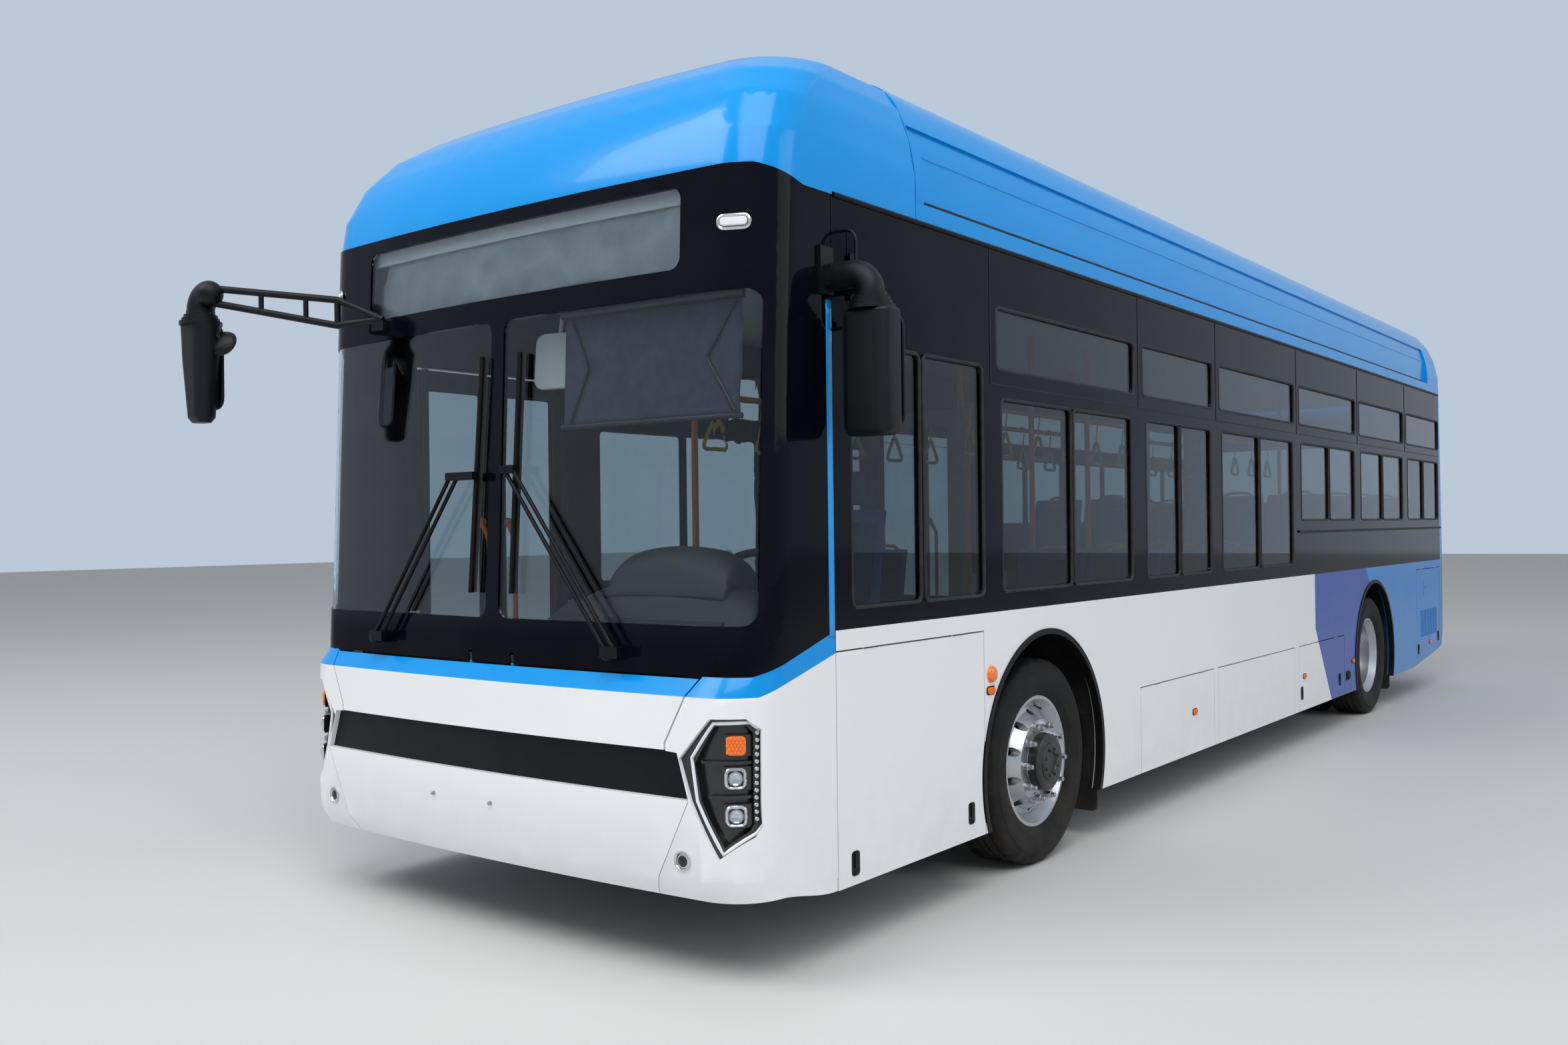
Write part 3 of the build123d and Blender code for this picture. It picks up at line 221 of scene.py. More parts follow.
class Groups:
    """Shader node groups shared by the finishes."""

    def __init__(self, marks: "Landmarks") -> None:
        """Build every group once."""
        self.wear = self.build_wear()
        self.livery = self.build_livery(marks)
        self.mould = self.build_mould()

    @staticmethod
    def start(name: str, inputs: list[tuple[str, str, Feed | None]], outputs: list[tuple[str, str]],
              ) -> tuple[bpy.types.NodeTree, Nodes, bpy.types.Node, bpy.types.Node]:
        """Start a group with named sockets.

        Args:
            name: the group's name.
            inputs: name, socket type and default of each input.
            outputs: name and socket type of each output.

        Returns:
            The group, its node helper, the input node and the output node.
        """
        tree = bpy.data.node_groups.new(name, "ShaderNodeTree")
        for label, kind, value in inputs:
            socket = tree.interface.new_socket(label, in_out="INPUT", socket_type=kind)
            if value is not None:
                socket.default_value = value
        for label, kind in outputs:
            tree.interface.new_socket(label, in_out="OUTPUT", socket_type=kind)
        nodes = Nodes(tree)
        return tree, nodes, nodes.add("NodeGroupInput"), nodes.add("NodeGroupOutput")

    def build_wear(self) -> bpy.types.NodeTree:
        """Make patchy tone, road dust low down and a roughness that follows both.

        Returns:
            The group.
        """
        tree, n, enter, leave = self.start(
            "Road wear",
            [("Place", "NodeSocketVector", None), ("Colour", "NodeSocketColor", (0.5, 0.5, 0.5, 1)),
             ("Tone", "NodeSocketFloat", 0.1), ("Patch", "NodeSocketFloat", 3.0),
             ("Dust", "NodeSocketFloat", 0.3), ("Dust Top", "NodeSocketFloat", 0.9),
             ("Smooth", "NodeSocketFloat", 0.2)],
            [("Colour", "NodeSocketColor"), ("Roughness", "NodeSocketFloat")])
        i = enter.outputs
        patch = n.noise(i["Place"], i["Patch"], 5.0)
        shade = n.math("MULTIPLY", n.math("SUBTRACT", patch, 0.5), i["Tone"])
        bright = n.add("ShaderNodeBrightContrast")
        n.feed(bright.inputs["Color"], i["Colour"])
        n.feed(bright.inputs["Bright"], shade)
        z = n.axes(i["Place"])[2]
        fall = n.math("DIVIDE", n.math("SUBTRACT", i["Dust Top"], z), i["Dust Top"])
        low = n.math("POWER", n.math("MAXIMUM", fall, 0.0), 1.6)
        grit = n.noise(i["Place"], 9.0, 8.0)
        spread = n.math("MULTIPLY", low, n.ramp(grit, 0.3, 0.75))
        dust = n.math("MINIMUM", n.math("MULTIPLY", spread, i["Dust"]), 0.85)
        n.feed(leave.inputs["Colour"], n.mix(dust, bright.outputs[0], ROAD_DUST))
        rough = n.math("ADD", i["Smooth"], n.math("MULTIPLY", dust, 0.5))
        n.feed(leave.inputs["Roughness"], n.math("ADD", rough, n.math("MULTIPLY", shade, 0.4)))
        return tree

    def build_livery(self, marks: "Landmarks") -> bpy.types.NodeTree:
        """Paint the body's fields by place: white, stripe, violet wedge, tail and roof.

        Args:
            marks: the body's lines.

        Returns:
            The group.
        """
        tree, n, enter, leave = self.start(
            "Body livery", [("Place", "NodeSocketVector", None)], [("Colour", "NodeSocketColor")])
        x, y, z = n.axes(enter.outputs["Place"])
        under = n.math("MAXIMUM", n.math("SUBTRACT", marks.wedge_knee, z), 0.0)
        wedge_low = n.math("MULTIPLY", under, marks.wedge_slope)
        wedge = n.above(y, n.math("ADD", wedge_low, marks.wedge_y))
        drop = n.math("MULTIPLY", n.math("SUBTRACT", marks.waist, z), marks.tail_slope)
        tail_line = n.math("ADD", drop, marks.tail_y)
        tail = n.above(y, n.math("MINIMUM", tail_line, marks.rear_axle + 0.3))
        rise = n.ramp(y, marks.front + marks.stripe_bend, marks.nose, *marks.stripe_foot)
        ahead = n.math("SUBTRACT", 1.0, n.above(y, marks.nose + 0.001))
        stripe = n.math("MULTIPLY", n.above(z, rise), ahead)
        roof = n.above(z, marks.band_top - 0.01)
        colour = n.mix(wedge, WHITE, VIOLET)
        colour = n.mix(tail, colour, TAIL_BLUE)
        colour = n.mix(stripe, colour, SKY)
        arms = n.math("MULTIPLY", n.above(z, marks.belt + 0.001), ahead)
        middle = n.math("SUBTRACT", 1.0, n.above(n.math("ABSOLUTE", x), marks.arm_reach))
        colour = n.mix(n.math("MULTIPLY", arms, middle), colour, HINGE_BLACK)
        # Everything standing out past the side wall, the flaps' hinge rods, is painted hinge black. This is
        # also painted shade: it keeps the dark shadow line of the flap gaps unbroken across the rods.
        hinge_rods_and_gap_shade = n.above(n.math("ABSOLUTE", x), marks.side + 0.001)
        colour = n.mix(hinge_rods_and_gap_shade, colour, HINGE_BLACK)
        n.feed(leave.inputs["Colour"], n.mix(roof, colour, SKY))
        return tree

    def build_mould(self) -> bpy.types.NodeTree:
        """Make the fine grain of moulded plastic, rubber or cloth as a height.

        Returns:
            The group.
        """
        tree, n, enter, leave = self.start(
            "Moulded grain",
            [("Place", "NodeSocketVector", None), ("Grain", "NodeSocketFloat", 400.0)],
            [("Height", "NodeSocketFloat")])
        cells = n.add("ShaderNodeTexVoronoi")
        n.feed(cells.inputs["Vector"], enter.outputs["Place"])
        n.feed(cells.inputs["Scale"], enter.outputs["Grain"])
        fine = n.noise(enter.outputs["Place"], n.math("MULTIPLY", enter.outputs["Grain"], 0.3), 2.0)
        n.feed(leave.inputs["Height"], n.math("ADD", cells.outputs["Distance"], fine))
        return tree


class Ground(Enum):
    """Where a finish takes its main colour from."""

    PLAIN = "plain"
    LIVERY = "livery"


class Side(Enum):
    """The two sides of the bus."""

    LEFT = "left"
    RIGHT = "right"

    @property
    def sign(self) -> int:
        """1 on the driver's side and -1 on the kerb side."""
        return 1 if self is Side.LEFT else -1


class End(Enum):
    """The two axles of the bus."""

    FRONT = "front"
    REAR = "rear"


@dataclass(frozen=True)
class Finish:
    """One finish: colour, gloss and the wear that it shows."""

    name: str
    colour: Colour = (0.5, 0.5, 0.5, 1.0)
    smooth: float = 0.3
    metal: float = 0.0
    coat: float = 0.0
    tone: float = 0.06
    patch: float = 3.0
    dust: float = 0.25
    dust_top: float = 1.0
    shine: float = 0.5
    grain: float = 300.0
    grain_depth: float = 0.0
    ground: Ground = Ground.PLAIN

    def build(self, groups: Groups) -> bpy.types.Material:
        """Make the material.

        Args:
            groups: the shared node groups.

        Returns:
            The material.
        """
        material = bpy.data.materials.new(self.name)
        material.use_nodes = True
        n = Nodes(material.node_tree)
        shader = material.node_tree.nodes["Principled BSDF"]
        place = n.place()
        colour: Feed = self.colour
        if self.ground is Ground.LIVERY:
            field_node = n.add("ShaderNodeGroup", node_tree=groups.livery)
            n.feed(field_node.inputs["Place"], place)
            colour = field_node.outputs["Colour"]
        wear = n.add("ShaderNodeGroup", node_tree=groups.wear)
        for label, value in (("Place", place), ("Colour", colour), ("Tone", self.tone), ("Patch", self.patch),
                             ("Dust", self.dust), ("Dust Top", self.dust_top), ("Smooth", self.smooth)):
            n.feed(wear.inputs[label], value)
        n.feed(shader.inputs["Base Color"], wear.outputs["Colour"])
        n.feed(shader.inputs["Roughness"], wear.outputs["Roughness"])
        shader.inputs["Metallic"].default_value = self.metal
        shader.inputs["Specular IOR Level"].default_value = self.shine
        shader.inputs["Coat Weight"].default_value = self.coat
        shader.inputs["Coat Roughness"].default_value = 0.04
        if self.grain_depth > 0:
            mould = n.add("ShaderNodeGroup", node_tree=groups.mould)
            n.feed(mould.inputs["Place"], place)
            n.feed(mould.inputs["Grain"], self.grain)
            bump = n.add("ShaderNodeBump")
            bump.inputs["Strength"].default_value = self.grain_depth
            bump.inputs["Distance"].default_value = 0.002
            n.feed(bump.inputs["Height"], mould.outputs["Height"])
            n.feed(shader.inputs["Normal"], bump.outputs["Normal"])
        return material


@dataclass(frozen=True)
class Glazing:
    """Clear or tinted glass with a little dust."""

    name: str
    tint: Colour = (0.86, 0.9, 0.9, 1.0)
    smooth: float = 0.01
    bend: float = 1.45

    def build(self, groups: Groups) -> bpy.types.Material:
        """Make the glass.

        Args:
            groups: the shared node groups.

        Returns:
            The material.
        """
        material = bpy.data.materials.new(self.name)
        material.use_nodes = True
        n = Nodes(material.node_tree)
        shader = material.node_tree.nodes["Principled BSDF"]
        wear = n.add("ShaderNodeGroup", node_tree=groups.wear)
        for label, value in (("Place", n.place()), ("Colour", self.tint), ("Tone", 0.03), ("Patch", 2.0),
                             ("Dust", 0.05), ("Dust Top", 2.0), ("Smooth", self.smooth)):
            n.feed(wear.inputs[label], value)
        n.feed(shader.inputs["Base Color"], wear.outputs["Colour"])
        n.feed(shader.inputs["Roughness"], wear.outputs["Roughness"])
        shader.inputs["Transmission Weight"].default_value = 1.0
        shader.inputs["IOR"].default_value = self.bend
        return material


PAINT = Finish("body paint", smooth=0.2, coat=0.15, tone=0.02, dust=0.16, dust_top=0.9, shine=0.22,
               ground=Ground.LIVERY)
BLACK_GLASS = Finish("black glass band", srgb(9, 11, 19), smooth=0.07, tone=0.006, dust=0.05, shine=0.1)
BLACK_TRIM = Finish("black trim", srgb(12, 12, 14), smooth=0.42, tone=0.008, dust=0.05, shine=0.16,
                    grain=500, grain_depth=0.15)
MIRROR_SHELL = Finish("mirror shell", srgb(14, 14, 16), smooth=0.38, tone=0.01, dust=0.05, shine=0.25,
                      grain=700, grain_depth=0.2)
TYRE = Finish("tyre rubber", srgb(18, 18, 19), smooth=0.7, tone=0.012, patch=14, dust=0.1, dust_top=1.2,
              shine=0.25, grain=260, grain_depth=0.25)
WHEEL = Finish("wheel silver", srgb(190, 192, 196), smooth=0.3, metal=0.85, tone=0.06, patch=20, dust=0.25)
STEEL = Finish("frame steel", srgb(36, 36, 38), smooth=0.55, tone=0.04, dust=0.6, dust_top=1.2)
BELLOWS = Finish("spring rubber", srgb(20, 20, 20), smooth=0.7, dust=0.5, grain=160, grain_depth=0.3)
LINER = Finish("arch liner", srgb(24, 24, 25), smooth=0.7, dust=0.45, dust_top=1.2,
               grain=120, grain_depth=0.3)
FLOOR_COVER = Finish("floor cover", srgb(92, 96, 102), smooth=0.6, tone=0.08, patch=60, dust=0.2,
                     grain=500, grain_depth=0.2)
ROOF_SHEET = Finish("roof sheet", srgb(205, 208, 210), smooth=0.45, tone=0.05, dust=0.1)
PACK_SHELL = Finish("pack shell", srgb(214, 216, 218), smooth=0.4, tone=0.05, dust=0.1,
                    grain=200, grain_depth=0.05)
SEAT_SHELL = Finish("seat shell", srgb(52, 96, 168), smooth=0.55, tone=0.08, patch=30,
                    grain=900, grain_depth=0.25)
DASH = Finish("dash plastic", srgb(50, 54, 60), smooth=0.5, tone=0.03, grain=600, grain_depth=0.25)
HAND_WHEEL = Finish("hand wheel", srgb(18, 18, 19), smooth=0.5, grain=700, grain_depth=0.3)
POLE = Finish("pole enamel", srgb(240, 112, 14), smooth=0.28, coat=0.3, tone=0.04, dust=0.0)
LAMP_BOWL = Finish("lamp bowl", srgb(20, 21, 23), smooth=0.3, coat=0.4, tone=0.02, dust=0.15)
TAIL_LENS = Finish("tail lens", srgb(150, 10, 12), smooth=0.12, coat=0.8, tone=0.1, patch=80, dust=0.15)
SCREEN_GLASS = Glazing("screen glass", (0.74, 0.8, 0.82, 1.0), bend=1.33)
SIDE_GLASS = Glazing("side glass", (0.34, 0.41, 0.43, 1.0), bend=1.33)
LENS_GLASS = Glazing("lens glass", (0.96, 0.97, 0.98, 1.0))
AMBER = Finish("amber lens", srgb(252, 124, 8), smooth=0.14, coat=0.6, tone=0.1, patch=160, dust=0.1)
RED_LENS = Finish("red lens", srgb(176, 14, 16), smooth=0.12, coat=0.6, tone=0.1, patch=160, dust=0.1)
CHROME = Finish("bright trim", srgb(206, 209, 213), smooth=0.16, metal=1.0, tone=0.05, patch=30, dust=0.1)
GUIDE = Finish("light guide", srgb(232, 236, 240), smooth=0.22, coat=0.4, tone=0.04, patch=40, dust=0.1)
RUBBER = Finish("gasket rubber", srgb(14, 14, 15), smooth=0.6, tone=0.03, patch=20, dust=0.15,
                grain=420, grain_depth=0.2)
TAIL_PAINT = Finish("tail paint", TAIL_BLUE, smooth=0.2, coat=0.15, tone=0.02, dust=0.1, shine=0.22)
STRIPE = Finish("stripe film", SKY, smooth=0.25, coat=0.4, tone=0.02, dust=0.05)
NUT = Finish("nut zinc", srgb(176, 178, 182), smooth=0.28, metal=0.95, tone=0.12, patch=60, dust=0.2)
HUB_BLACK = Finish("hub black", srgb(26, 26, 28), smooth=0.42, tone=0.05, patch=40, dust=0.3)
LOOKING_GLASS = Finish("looking glass", srgb(214, 218, 222), smooth=0.03, metal=1.0, tone=0.02, dust=0.1)
SEAT_CLOTH = Finish("seat cloth", srgb(40, 66, 118), smooth=0.85, tone=0.12, patch=90, dust=0.0,
                    grain=1400, grain_depth=0.5)
STRAP = Finish("strap webbing", srgb(236, 186, 30), smooth=0.7, tone=0.08, patch=70, dust=0.0,
               grain=1200, grain_depth=0.4)
STRAP_RING = Finish("strap ring", srgb(222, 190, 44), smooth=0.4, tone=0.06, patch=50, dust=0.0,
                    grain=600, grain_depth=0.15)
GRIP = Finish("grip plastic", srgb(40, 42, 46), smooth=0.4, tone=0.04, dust=0.0, grain=700, grain_depth=0.15)
BLIND = Finish("blind cloth", srgb(62, 70, 86), smooth=0.8, tone=0.06, patch=25, dust=0.0,
               grain=1500, grain_depth=0.12)
FOIL = Finish("sign foil", srgb(158, 164, 168), smooth=0.42, metal=0.3, tone=0.2, patch=9, dust=0.0,
              grain=40, grain_depth=0.25)
PALE_PLASTIC = Finish("pale plastic", srgb(206, 208, 206), smooth=0.42, tone=0.04, dust=0.0,
                      grain=600, grain_depth=0.1)
PLATE = Finish("blank plate", srgb(226, 228, 228), smooth=0.35, tone=0.05, patch=25, dust=0.25)

NODE_FINISH: dict[str, Finish | Glazing] = {
    "front_flap": PAINT, "front_bumper": PAINT, "front_corners": PAINT, "lower_wall_left": PAINT,
    "lower_wall_right": PAINT, "flap_front_left": PAINT, "flap_one_left": PAINT, "flap_two_left": PAINT,
    "flap_three_left": PAINT, "flap_rear_left": PAINT, "roof_dome_front": PAINT, "roof_dome_rear": PAINT,
    "roof_fairings": PAINT, "rear_wall": PAINT, "rear_lid": PAINT,
    "windscreen_surround": BLACK_GLASS, "window_band_left": BLACK_GLASS, "window_band_right": BLACK_GLASS,
    "mirrors": MIRROR_SHELL, "grille_bar": BLACK_TRIM, "arch_lips": BLACK_TRIM, "wipers": BLACK_TRIM,
    "headlamps": LAMP_BOWL, "tail_lamps": TAIL_LENS,
    "windscreen_glass": SCREEN_GLASS, "saloon_glass": SIDE_GLASS,
    "roof_deck": ROOF_SHEET, "battery_packs": PACK_SHELL, "climate_unit": PACK_SHELL,
    "saloon_floor": FLOOR_COVER, "wheel_boxes": LINER, "underframe": STEEL, "front_axle": STEEL,
    "rear_axle": STEEL, "knuckle_left": STEEL, "knuckle_right": STEEL, "drive_motor": STEEL,
    "air_springs": BELLOWS, "seats": SEAT_SHELL, "driver_station": DASH, "sign_box": DASH,
    "steering_wheel": HAND_WHEEL, "grab_poles": POLE,
}
SIDE_FLAPS = ("flap_front_left", "flap_one_left", "flap_two_left", "flap_three_left", "flap_rear_left")
DOOR_LEAVES = ("door_front_fore", "door_front_aft", "door_middle_fore", "door_middle_aft")


@dataclass
class Landmarks:
    """Lines of the body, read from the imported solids, and the livery's lines on it."""

    wedge_back: float = 6.49
    wedge_knee: float = 0.80
    wedge_slope: float = 0.70
    tail_back: float = 7.87
    tail_slope: float = 1.1
    stripe_bend: float = 0.17
    stripe_foot: Flat = (0.99, 1.105)
    arm_reach: float = 0.5
    front: float = 0.0
    nose: float = 0.0
    rear: float = 0.0
    waist: float = 0.0
    belt: float = 0.0
    band_top: float = 0.0
    side: float = 0.0
    front_axle: float = 0.0
    rear_axle: float = 0.0
    hub: float = 0.0
    wedge_y: float = 0.0
    tail_y: float = 0.0

    def read(self) -> "Landmarks":
        """Take every line from the nodes' boxes.

        Returns:
            The filled landmarks.
        """
        wall_low, wall_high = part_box("lower_wall_left")
        band_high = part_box("window_band_left")[1]
        tyre_low, tyre_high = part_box("tyre_front_left")
        twin_low, twin_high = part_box("tyre_rear_left")
        self.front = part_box("front_bumper")[0].y
        self.nose = wall_low.y
        self.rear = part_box("rear_wall")[1].y
        self.waist = wall_high.z
        self.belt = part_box("windscreen_surround")[0].z
        self.band_top = band_high.z
        self.side = band_high.x
        self.front_axle = (tyre_low.y + tyre_high.y) / 2
        self.rear_axle = (twin_low.y + twin_high.y) / 2
        self.hub = (tyre_low.z + tyre_high.z) / 2
        self.wedge_y = self.front + self.wedge_back
        self.tail_y = self.front + self.tail_back
        return self


@dataclass
class Dresser:
    """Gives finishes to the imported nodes."""

    groups: Groups
    made: dict[str, bpy.types.Material] = field(default_factory=dict)

    def material(self, finish: Finish | Glazing) -> bpy.types.Material:
        """Return a finish's material, made once."""
        if finish.name not in self.made:
            self.made[finish.name] = finish.build(self.groups)
        return self.made[finish.name]

    def dress(self, obj: bpy.types.Object, finish: Finish | Glazing) -> None:
        """Put one finish on an object."""
        obj.data.materials.clear()
        obj.data.materials.append(self.material(finish))

    def nodes(self, nodes: dict[str, bpy.types.Object]) -> None:
        """Put the table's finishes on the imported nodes.

        Args:
            nodes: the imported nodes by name.
        """
        for name, obj in nodes.items():
            finish = NODE_FINISH.get(name)
            if finish is None and name.startswith("tyre_"):
                finish = TYRE
            elif finish is None and name.startswith("wheel_"):
                finish = WHEEL
            elif finish is None and name.endswith("_glass"):
                finish = SIDE_GLASS
            elif finish is None:
                finish = BLACK_TRIM
            self.dress(obj, finish)
            self.soften(obj)
            LOG.info("node %s: %s", name, finish.name)

    @staticmethod
    def soften(obj: bpy.types.Object) -> None:
        """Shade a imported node's round faces smoothly and keep its edges sharp."""
        obj.data.polygons.foreach_set("use_smooth", [True] * len(obj.data.polygons))
        weld = obj.modifiers.new("weld", "WELD")
        weld.merge_threshold = 0.00001
        split = obj.modifiers.new("edges", "EDGE_SPLIT")
        split.split_angle = math.radians(32)


def spaced(points: Sequence[Flat], step: float, closed: bool = False) -> list[Flat]:
    """Spread points evenly along a flat line.

    Args:
        points: corners of the line.
        step: greatest distance between two points.
        closed: whether the line runs back to its start.

    Returns:
        The corners and the points between them.
    """
    ring = list(points) + ([points[0]] if closed else [])
    spread = []
    for first, last in zip(ring, ring[1:]):
        count = max(1, math.ceil(math.dist(first, last) / step))
        for k in range(count):
            share = k / count
            spread.append((first[0] + (last[0] - first[0]) * share, first[1] + (last[1] - first[1]) * share))
    if not closed:
        spread.append(ring[-1])
    return spread


def rounded(wide: float, tall: float, corner: float, steps: int = 5) -> list[Flat]:
    """Outline of a rounded rectangle about its middle.

    Args:
        wide: its width.
        tall: its height.
        corner: radius of its corners.
        steps: points along each corner.

    Returns:
        The outline's points, anticlockwise.
    """
    outline = []
    for quarter, (sx, sy) in enumerate(((1, 1), (-1, 1), (-1, -1), (1, -1))):
        for k in range(steps + 1):
            turn = math.pi / 2 * (quarter + k / steps)
            outline.append((sx * (wide / 2 - corner) + corner * math.cos(turn),
                            sy * (tall / 2 - corner) + corner * math.sin(turn)))
    return outline


def face_axes(normal: Vector, up: Vector = UP) -> Pair:
    """Find the directions across and up on a face.

    Args:
        normal: the face's outward normal.
        up: a rough upward direction.

    Returns:
        The direction across and the direction up.
    """
    rise = Vector(normal).normalized()
    across = up.cross(rise).normalized()
    return across, rise.cross(across)


def islands(obj: bpy.types.Object) -> list[Pair]:
    """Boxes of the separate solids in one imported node.

    Args:
        obj: the node's object.

    Returns:
        Lowest and highest corner of each solid.
    """
    spots: dict[tuple[float, ...], int] = {}
    index = []
    for vertex in obj.data.vertices:
        key = tuple(round(c, 5) for c in vertex.co)
        index.append(spots.setdefault(key, len(spots)))
    lead = list(range(len(spots)))

    def find(item: int) -> int:
        """Return the first member of an item's set."""
        while lead[item] != item:
            lead[item] = lead[lead[item]]
            item = lead[item]
        return item

    for polygon in obj.data.polygons:
        corners = [find(index[v]) for v in polygon.vertices]
        for corner in corners[1:]:
            lead[find(corner)] = find(corners[0])
    boxes: dict[int, Pair] = {}
    for spot, item in spots.items():
        low, high = boxes.setdefault(find(item), (Vector(spot), Vector(spot)))
        for axis in range(3):
            low[axis] = min(low[axis], spot[axis])
            high[axis] = max(high[axis], spot[axis])
    return sorted(boxes.values(), key=lambda box: tuple(round(c, 4) for c in box[0]))


class Skin:
    """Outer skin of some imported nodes, probed along one axis."""

    def __init__(self, nodes: dict[str, bpy.types.Object], names: tuple[str, ...]) -> None:
        """Gather the nodes' faces.

        Args:
            nodes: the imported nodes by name.
            names: the nodes that make up the skin.
        """
        points: list[Vector] = []
        faces: list[list[int]] = []
        for name in names:
            base = len(points)
            points.extend(v.co.copy() for v in nodes[name].data.vertices)
            faces.extend([base + i for i in p.vertices] for p in nodes[name].data.polygons)
        self.tree = BVHTree.FromPolygons(points, faces)

    def hit(self, start: Vector, ahead: Vector) -> Pair:
        """Follow a ray to the skin.

        Args:
            start: where the ray starts.
            ahead: its direction.

        Returns:
            The first point and its outward normal.
        """
        spot, normal, _, _ = self.tree.ray_cast(start, ahead)
        if spot is None:
            spot, normal, _, _ = self.tree.find_nearest(start + ahead * 4.0)
        return spot, normal if normal.dot(ahead) < 0 else -normal

    def front(self, x: float, z: float) -> Pair:
        """Probe from ahead of the bus."""
        return self.hit(Vector((x, -9.0, z)), Vector((0, 1, 0)))

    def rear(self, x: float, z: float) -> Pair:
        """Probe from behind the bus."""
        return self.hit(Vector((x, 9.0, z)), Vector((0, -1, 0)))

    def left(self, y: float, z: float) -> Pair:
        """Probe from the driver's side."""
        return self.hit(Vector((4.0, y, z)), Vector((-1, 0, 0)))

    def right(self, y: float, z: float) -> Pair:
        """Probe from the kerb side."""
        return self.hit(Vector((-4.0, y, z)), Vector((1, 0, 0)))


class Shape:
    """One mesh made of turned, swept, plated, draped and stuffed parts."""

    def __init__(self, name: str) -> None:
        """Start an empty mesh."""
        self.name = name
        self.mesh = bmesh.new()

    def rows(self, rows: list[list[Vector]], wrap: bool = False, caps: bool = False) -> None:
        """Join rows of points with faces.

        Args:
            rows: equal rows of points.
            wrap: whether each row is a ring.
            caps: whether the first and last ring are closed.
        """
        made = [[self.mesh.verts.new(p) for p in row] for row in rows]
        count = len(rows[0])
        for first, second in zip(made, made[1:]):
            for i in range(count if wrap else count - 1):
                j = (i + 1) % count
                self.mesh.faces.new((first[i], first[j], second[j], second[i]))
        if caps:
            self.mesh.faces.new(list(reversed(made[0])))
            self.mesh.faces.new(made[-1])

    def lathe(self, profile: Sequence[Flat], centre: Vector, axis: Vector,
              segments: int = 32, closed: bool = False) -> None:
        """Turn a profile about an axis.

        Args:
            profile: place along the axis and radius of each point.
            centre: origin of the axis.
            axis: direction of the axis.
            segments: points round the axis.
            closed: whether the profile runs back to its start.
        """
        axis = Vector(axis).normalized()
        side = axis.orthogonal().normalized()
        other = axis.cross(side)
        rings = []
        for along, radius in profile:
            ring = []
            for k in range(segments):
                turn = 2 * math.pi * k / segments
                reach = max(radius, 0.0002)
                ring.append(Vector(centre) + axis * along
                            + (side * math.cos(turn) + other * math.sin(turn)) * reach)
            rings.append(ring)
        if closed:
            rings.append(rings[0])
        self.rows(rings, wrap=True, caps=not closed)

    def tube(self, points: list[Vector], radius: float, sides: int = 8, closed: bool = False,
             flat: float = 1.0) -> None:
        """Sweep a round or flattened bar along points.

        Args:
            points: the bar's middle line.
            radius: its radius.
            sides: points round it.
            closed: whether it runs back to its start.
            flat: share of the radius across its second axis.
        """
        count = len(points)
        normal = None
        rings = []
        for i, point in enumerate(points):
            ahead = points[(i + 1) % count] if closed or i < count - 1 else point
            behind = points[i - 1] if closed or i > 0 else point
            tangent = (ahead - behind).normalized()
            if normal is None:
                normal = tangent.orthogonal().normalized()
            normal = (normal - tangent * normal.dot(tangent)).normalized()
            other = tangent.cross(normal)
            ring = []
            for k in range(sides):
                turn = 2 * math.pi * (k + 0.5) / sides
                ring.append(point + normal * (radius * math.cos(turn))
                            + other * (radius * flat * math.sin(turn)))
            rings.append(ring)
        if closed:
            rings.append(rings[0])
        self.rows(rings, wrap=True, caps=not closed)

    def bead(self, outline: Sequence[Flat], centre: Vector, normal: Vector, radius: float,
             lift: float = 0.0) -> None:
        """Run a closed round bar along an outline on a face.

        Args:
            outline: points across and up.
            centre: the outline's middle.
            normal: the face's outward normal.
            radius: the bar's radius.
            lift: height of its middle line over the face.
        """
        across, up = face_axes(normal)
        start = Vector(centre) + Vector(normal).normalized() * lift
        self.tube([start + across * a + up * b for a, b in outline], radius, closed=True)

    def plate(self, outline: Sequence[Flat], centre: Vector, normal: Vector, depth: float,
              base: float = 0.0, up: Vector = UP) -> None:
        """Raise a flat outline into a plate.

        Args:
            outline: points across and up.
            centre: the outline's middle.
            normal: direction in which the plate rises.
            depth: its thickness.
            base: how far over the middle it starts.
            up: direction of the outline's second axis.
        """
        rise = Vector(normal).normalized()
        across, upright = face_axes(normal, up)
        layers = []
        for lift in (base, base + depth):
            layers.append([Vector(centre) + across * a + upright * b + rise * lift for a, b in outline])
        self.rows(layers, wrap=True, caps=True)

    def drape(self, probe: Probe, corners: Sequence[Flat], across: int, along: int,
              lift: float, crumple: float = 0.0) -> None:
        """Lay a grid between four corners on a skin.

        Args:
            probe: a Skin method for two flat coordinates.
            corners: four corners in turn.
            across: faces between the first two corners.
            along: faces between the first and the last corner.
            lift: height over the skin.
            crumple: height of small folds.
        """
        rows = []
        for j in range(along + 1):
            row = []
            for i in range(across + 1):
                s, t = i / across, j / along
                low = [corners[0][k] + (corners[1][k] - corners[0][k]) * s for k in (0, 1)]
                high = [corners[3][k] + (corners[2][k] - corners[3][k]) * s for k in (0, 1)]
                u, v = (low[k] + (high[k] - low[k]) * t for k in (0, 1))
                spot, normal = probe(u, v)
                fold = noise.noise(Vector((u * 9, v * 9, 0.5))) * crumple if crumple else 0.0
                row.append(spot + normal * (lift + fold))
            rows.append(row)
        self.rows(rows)

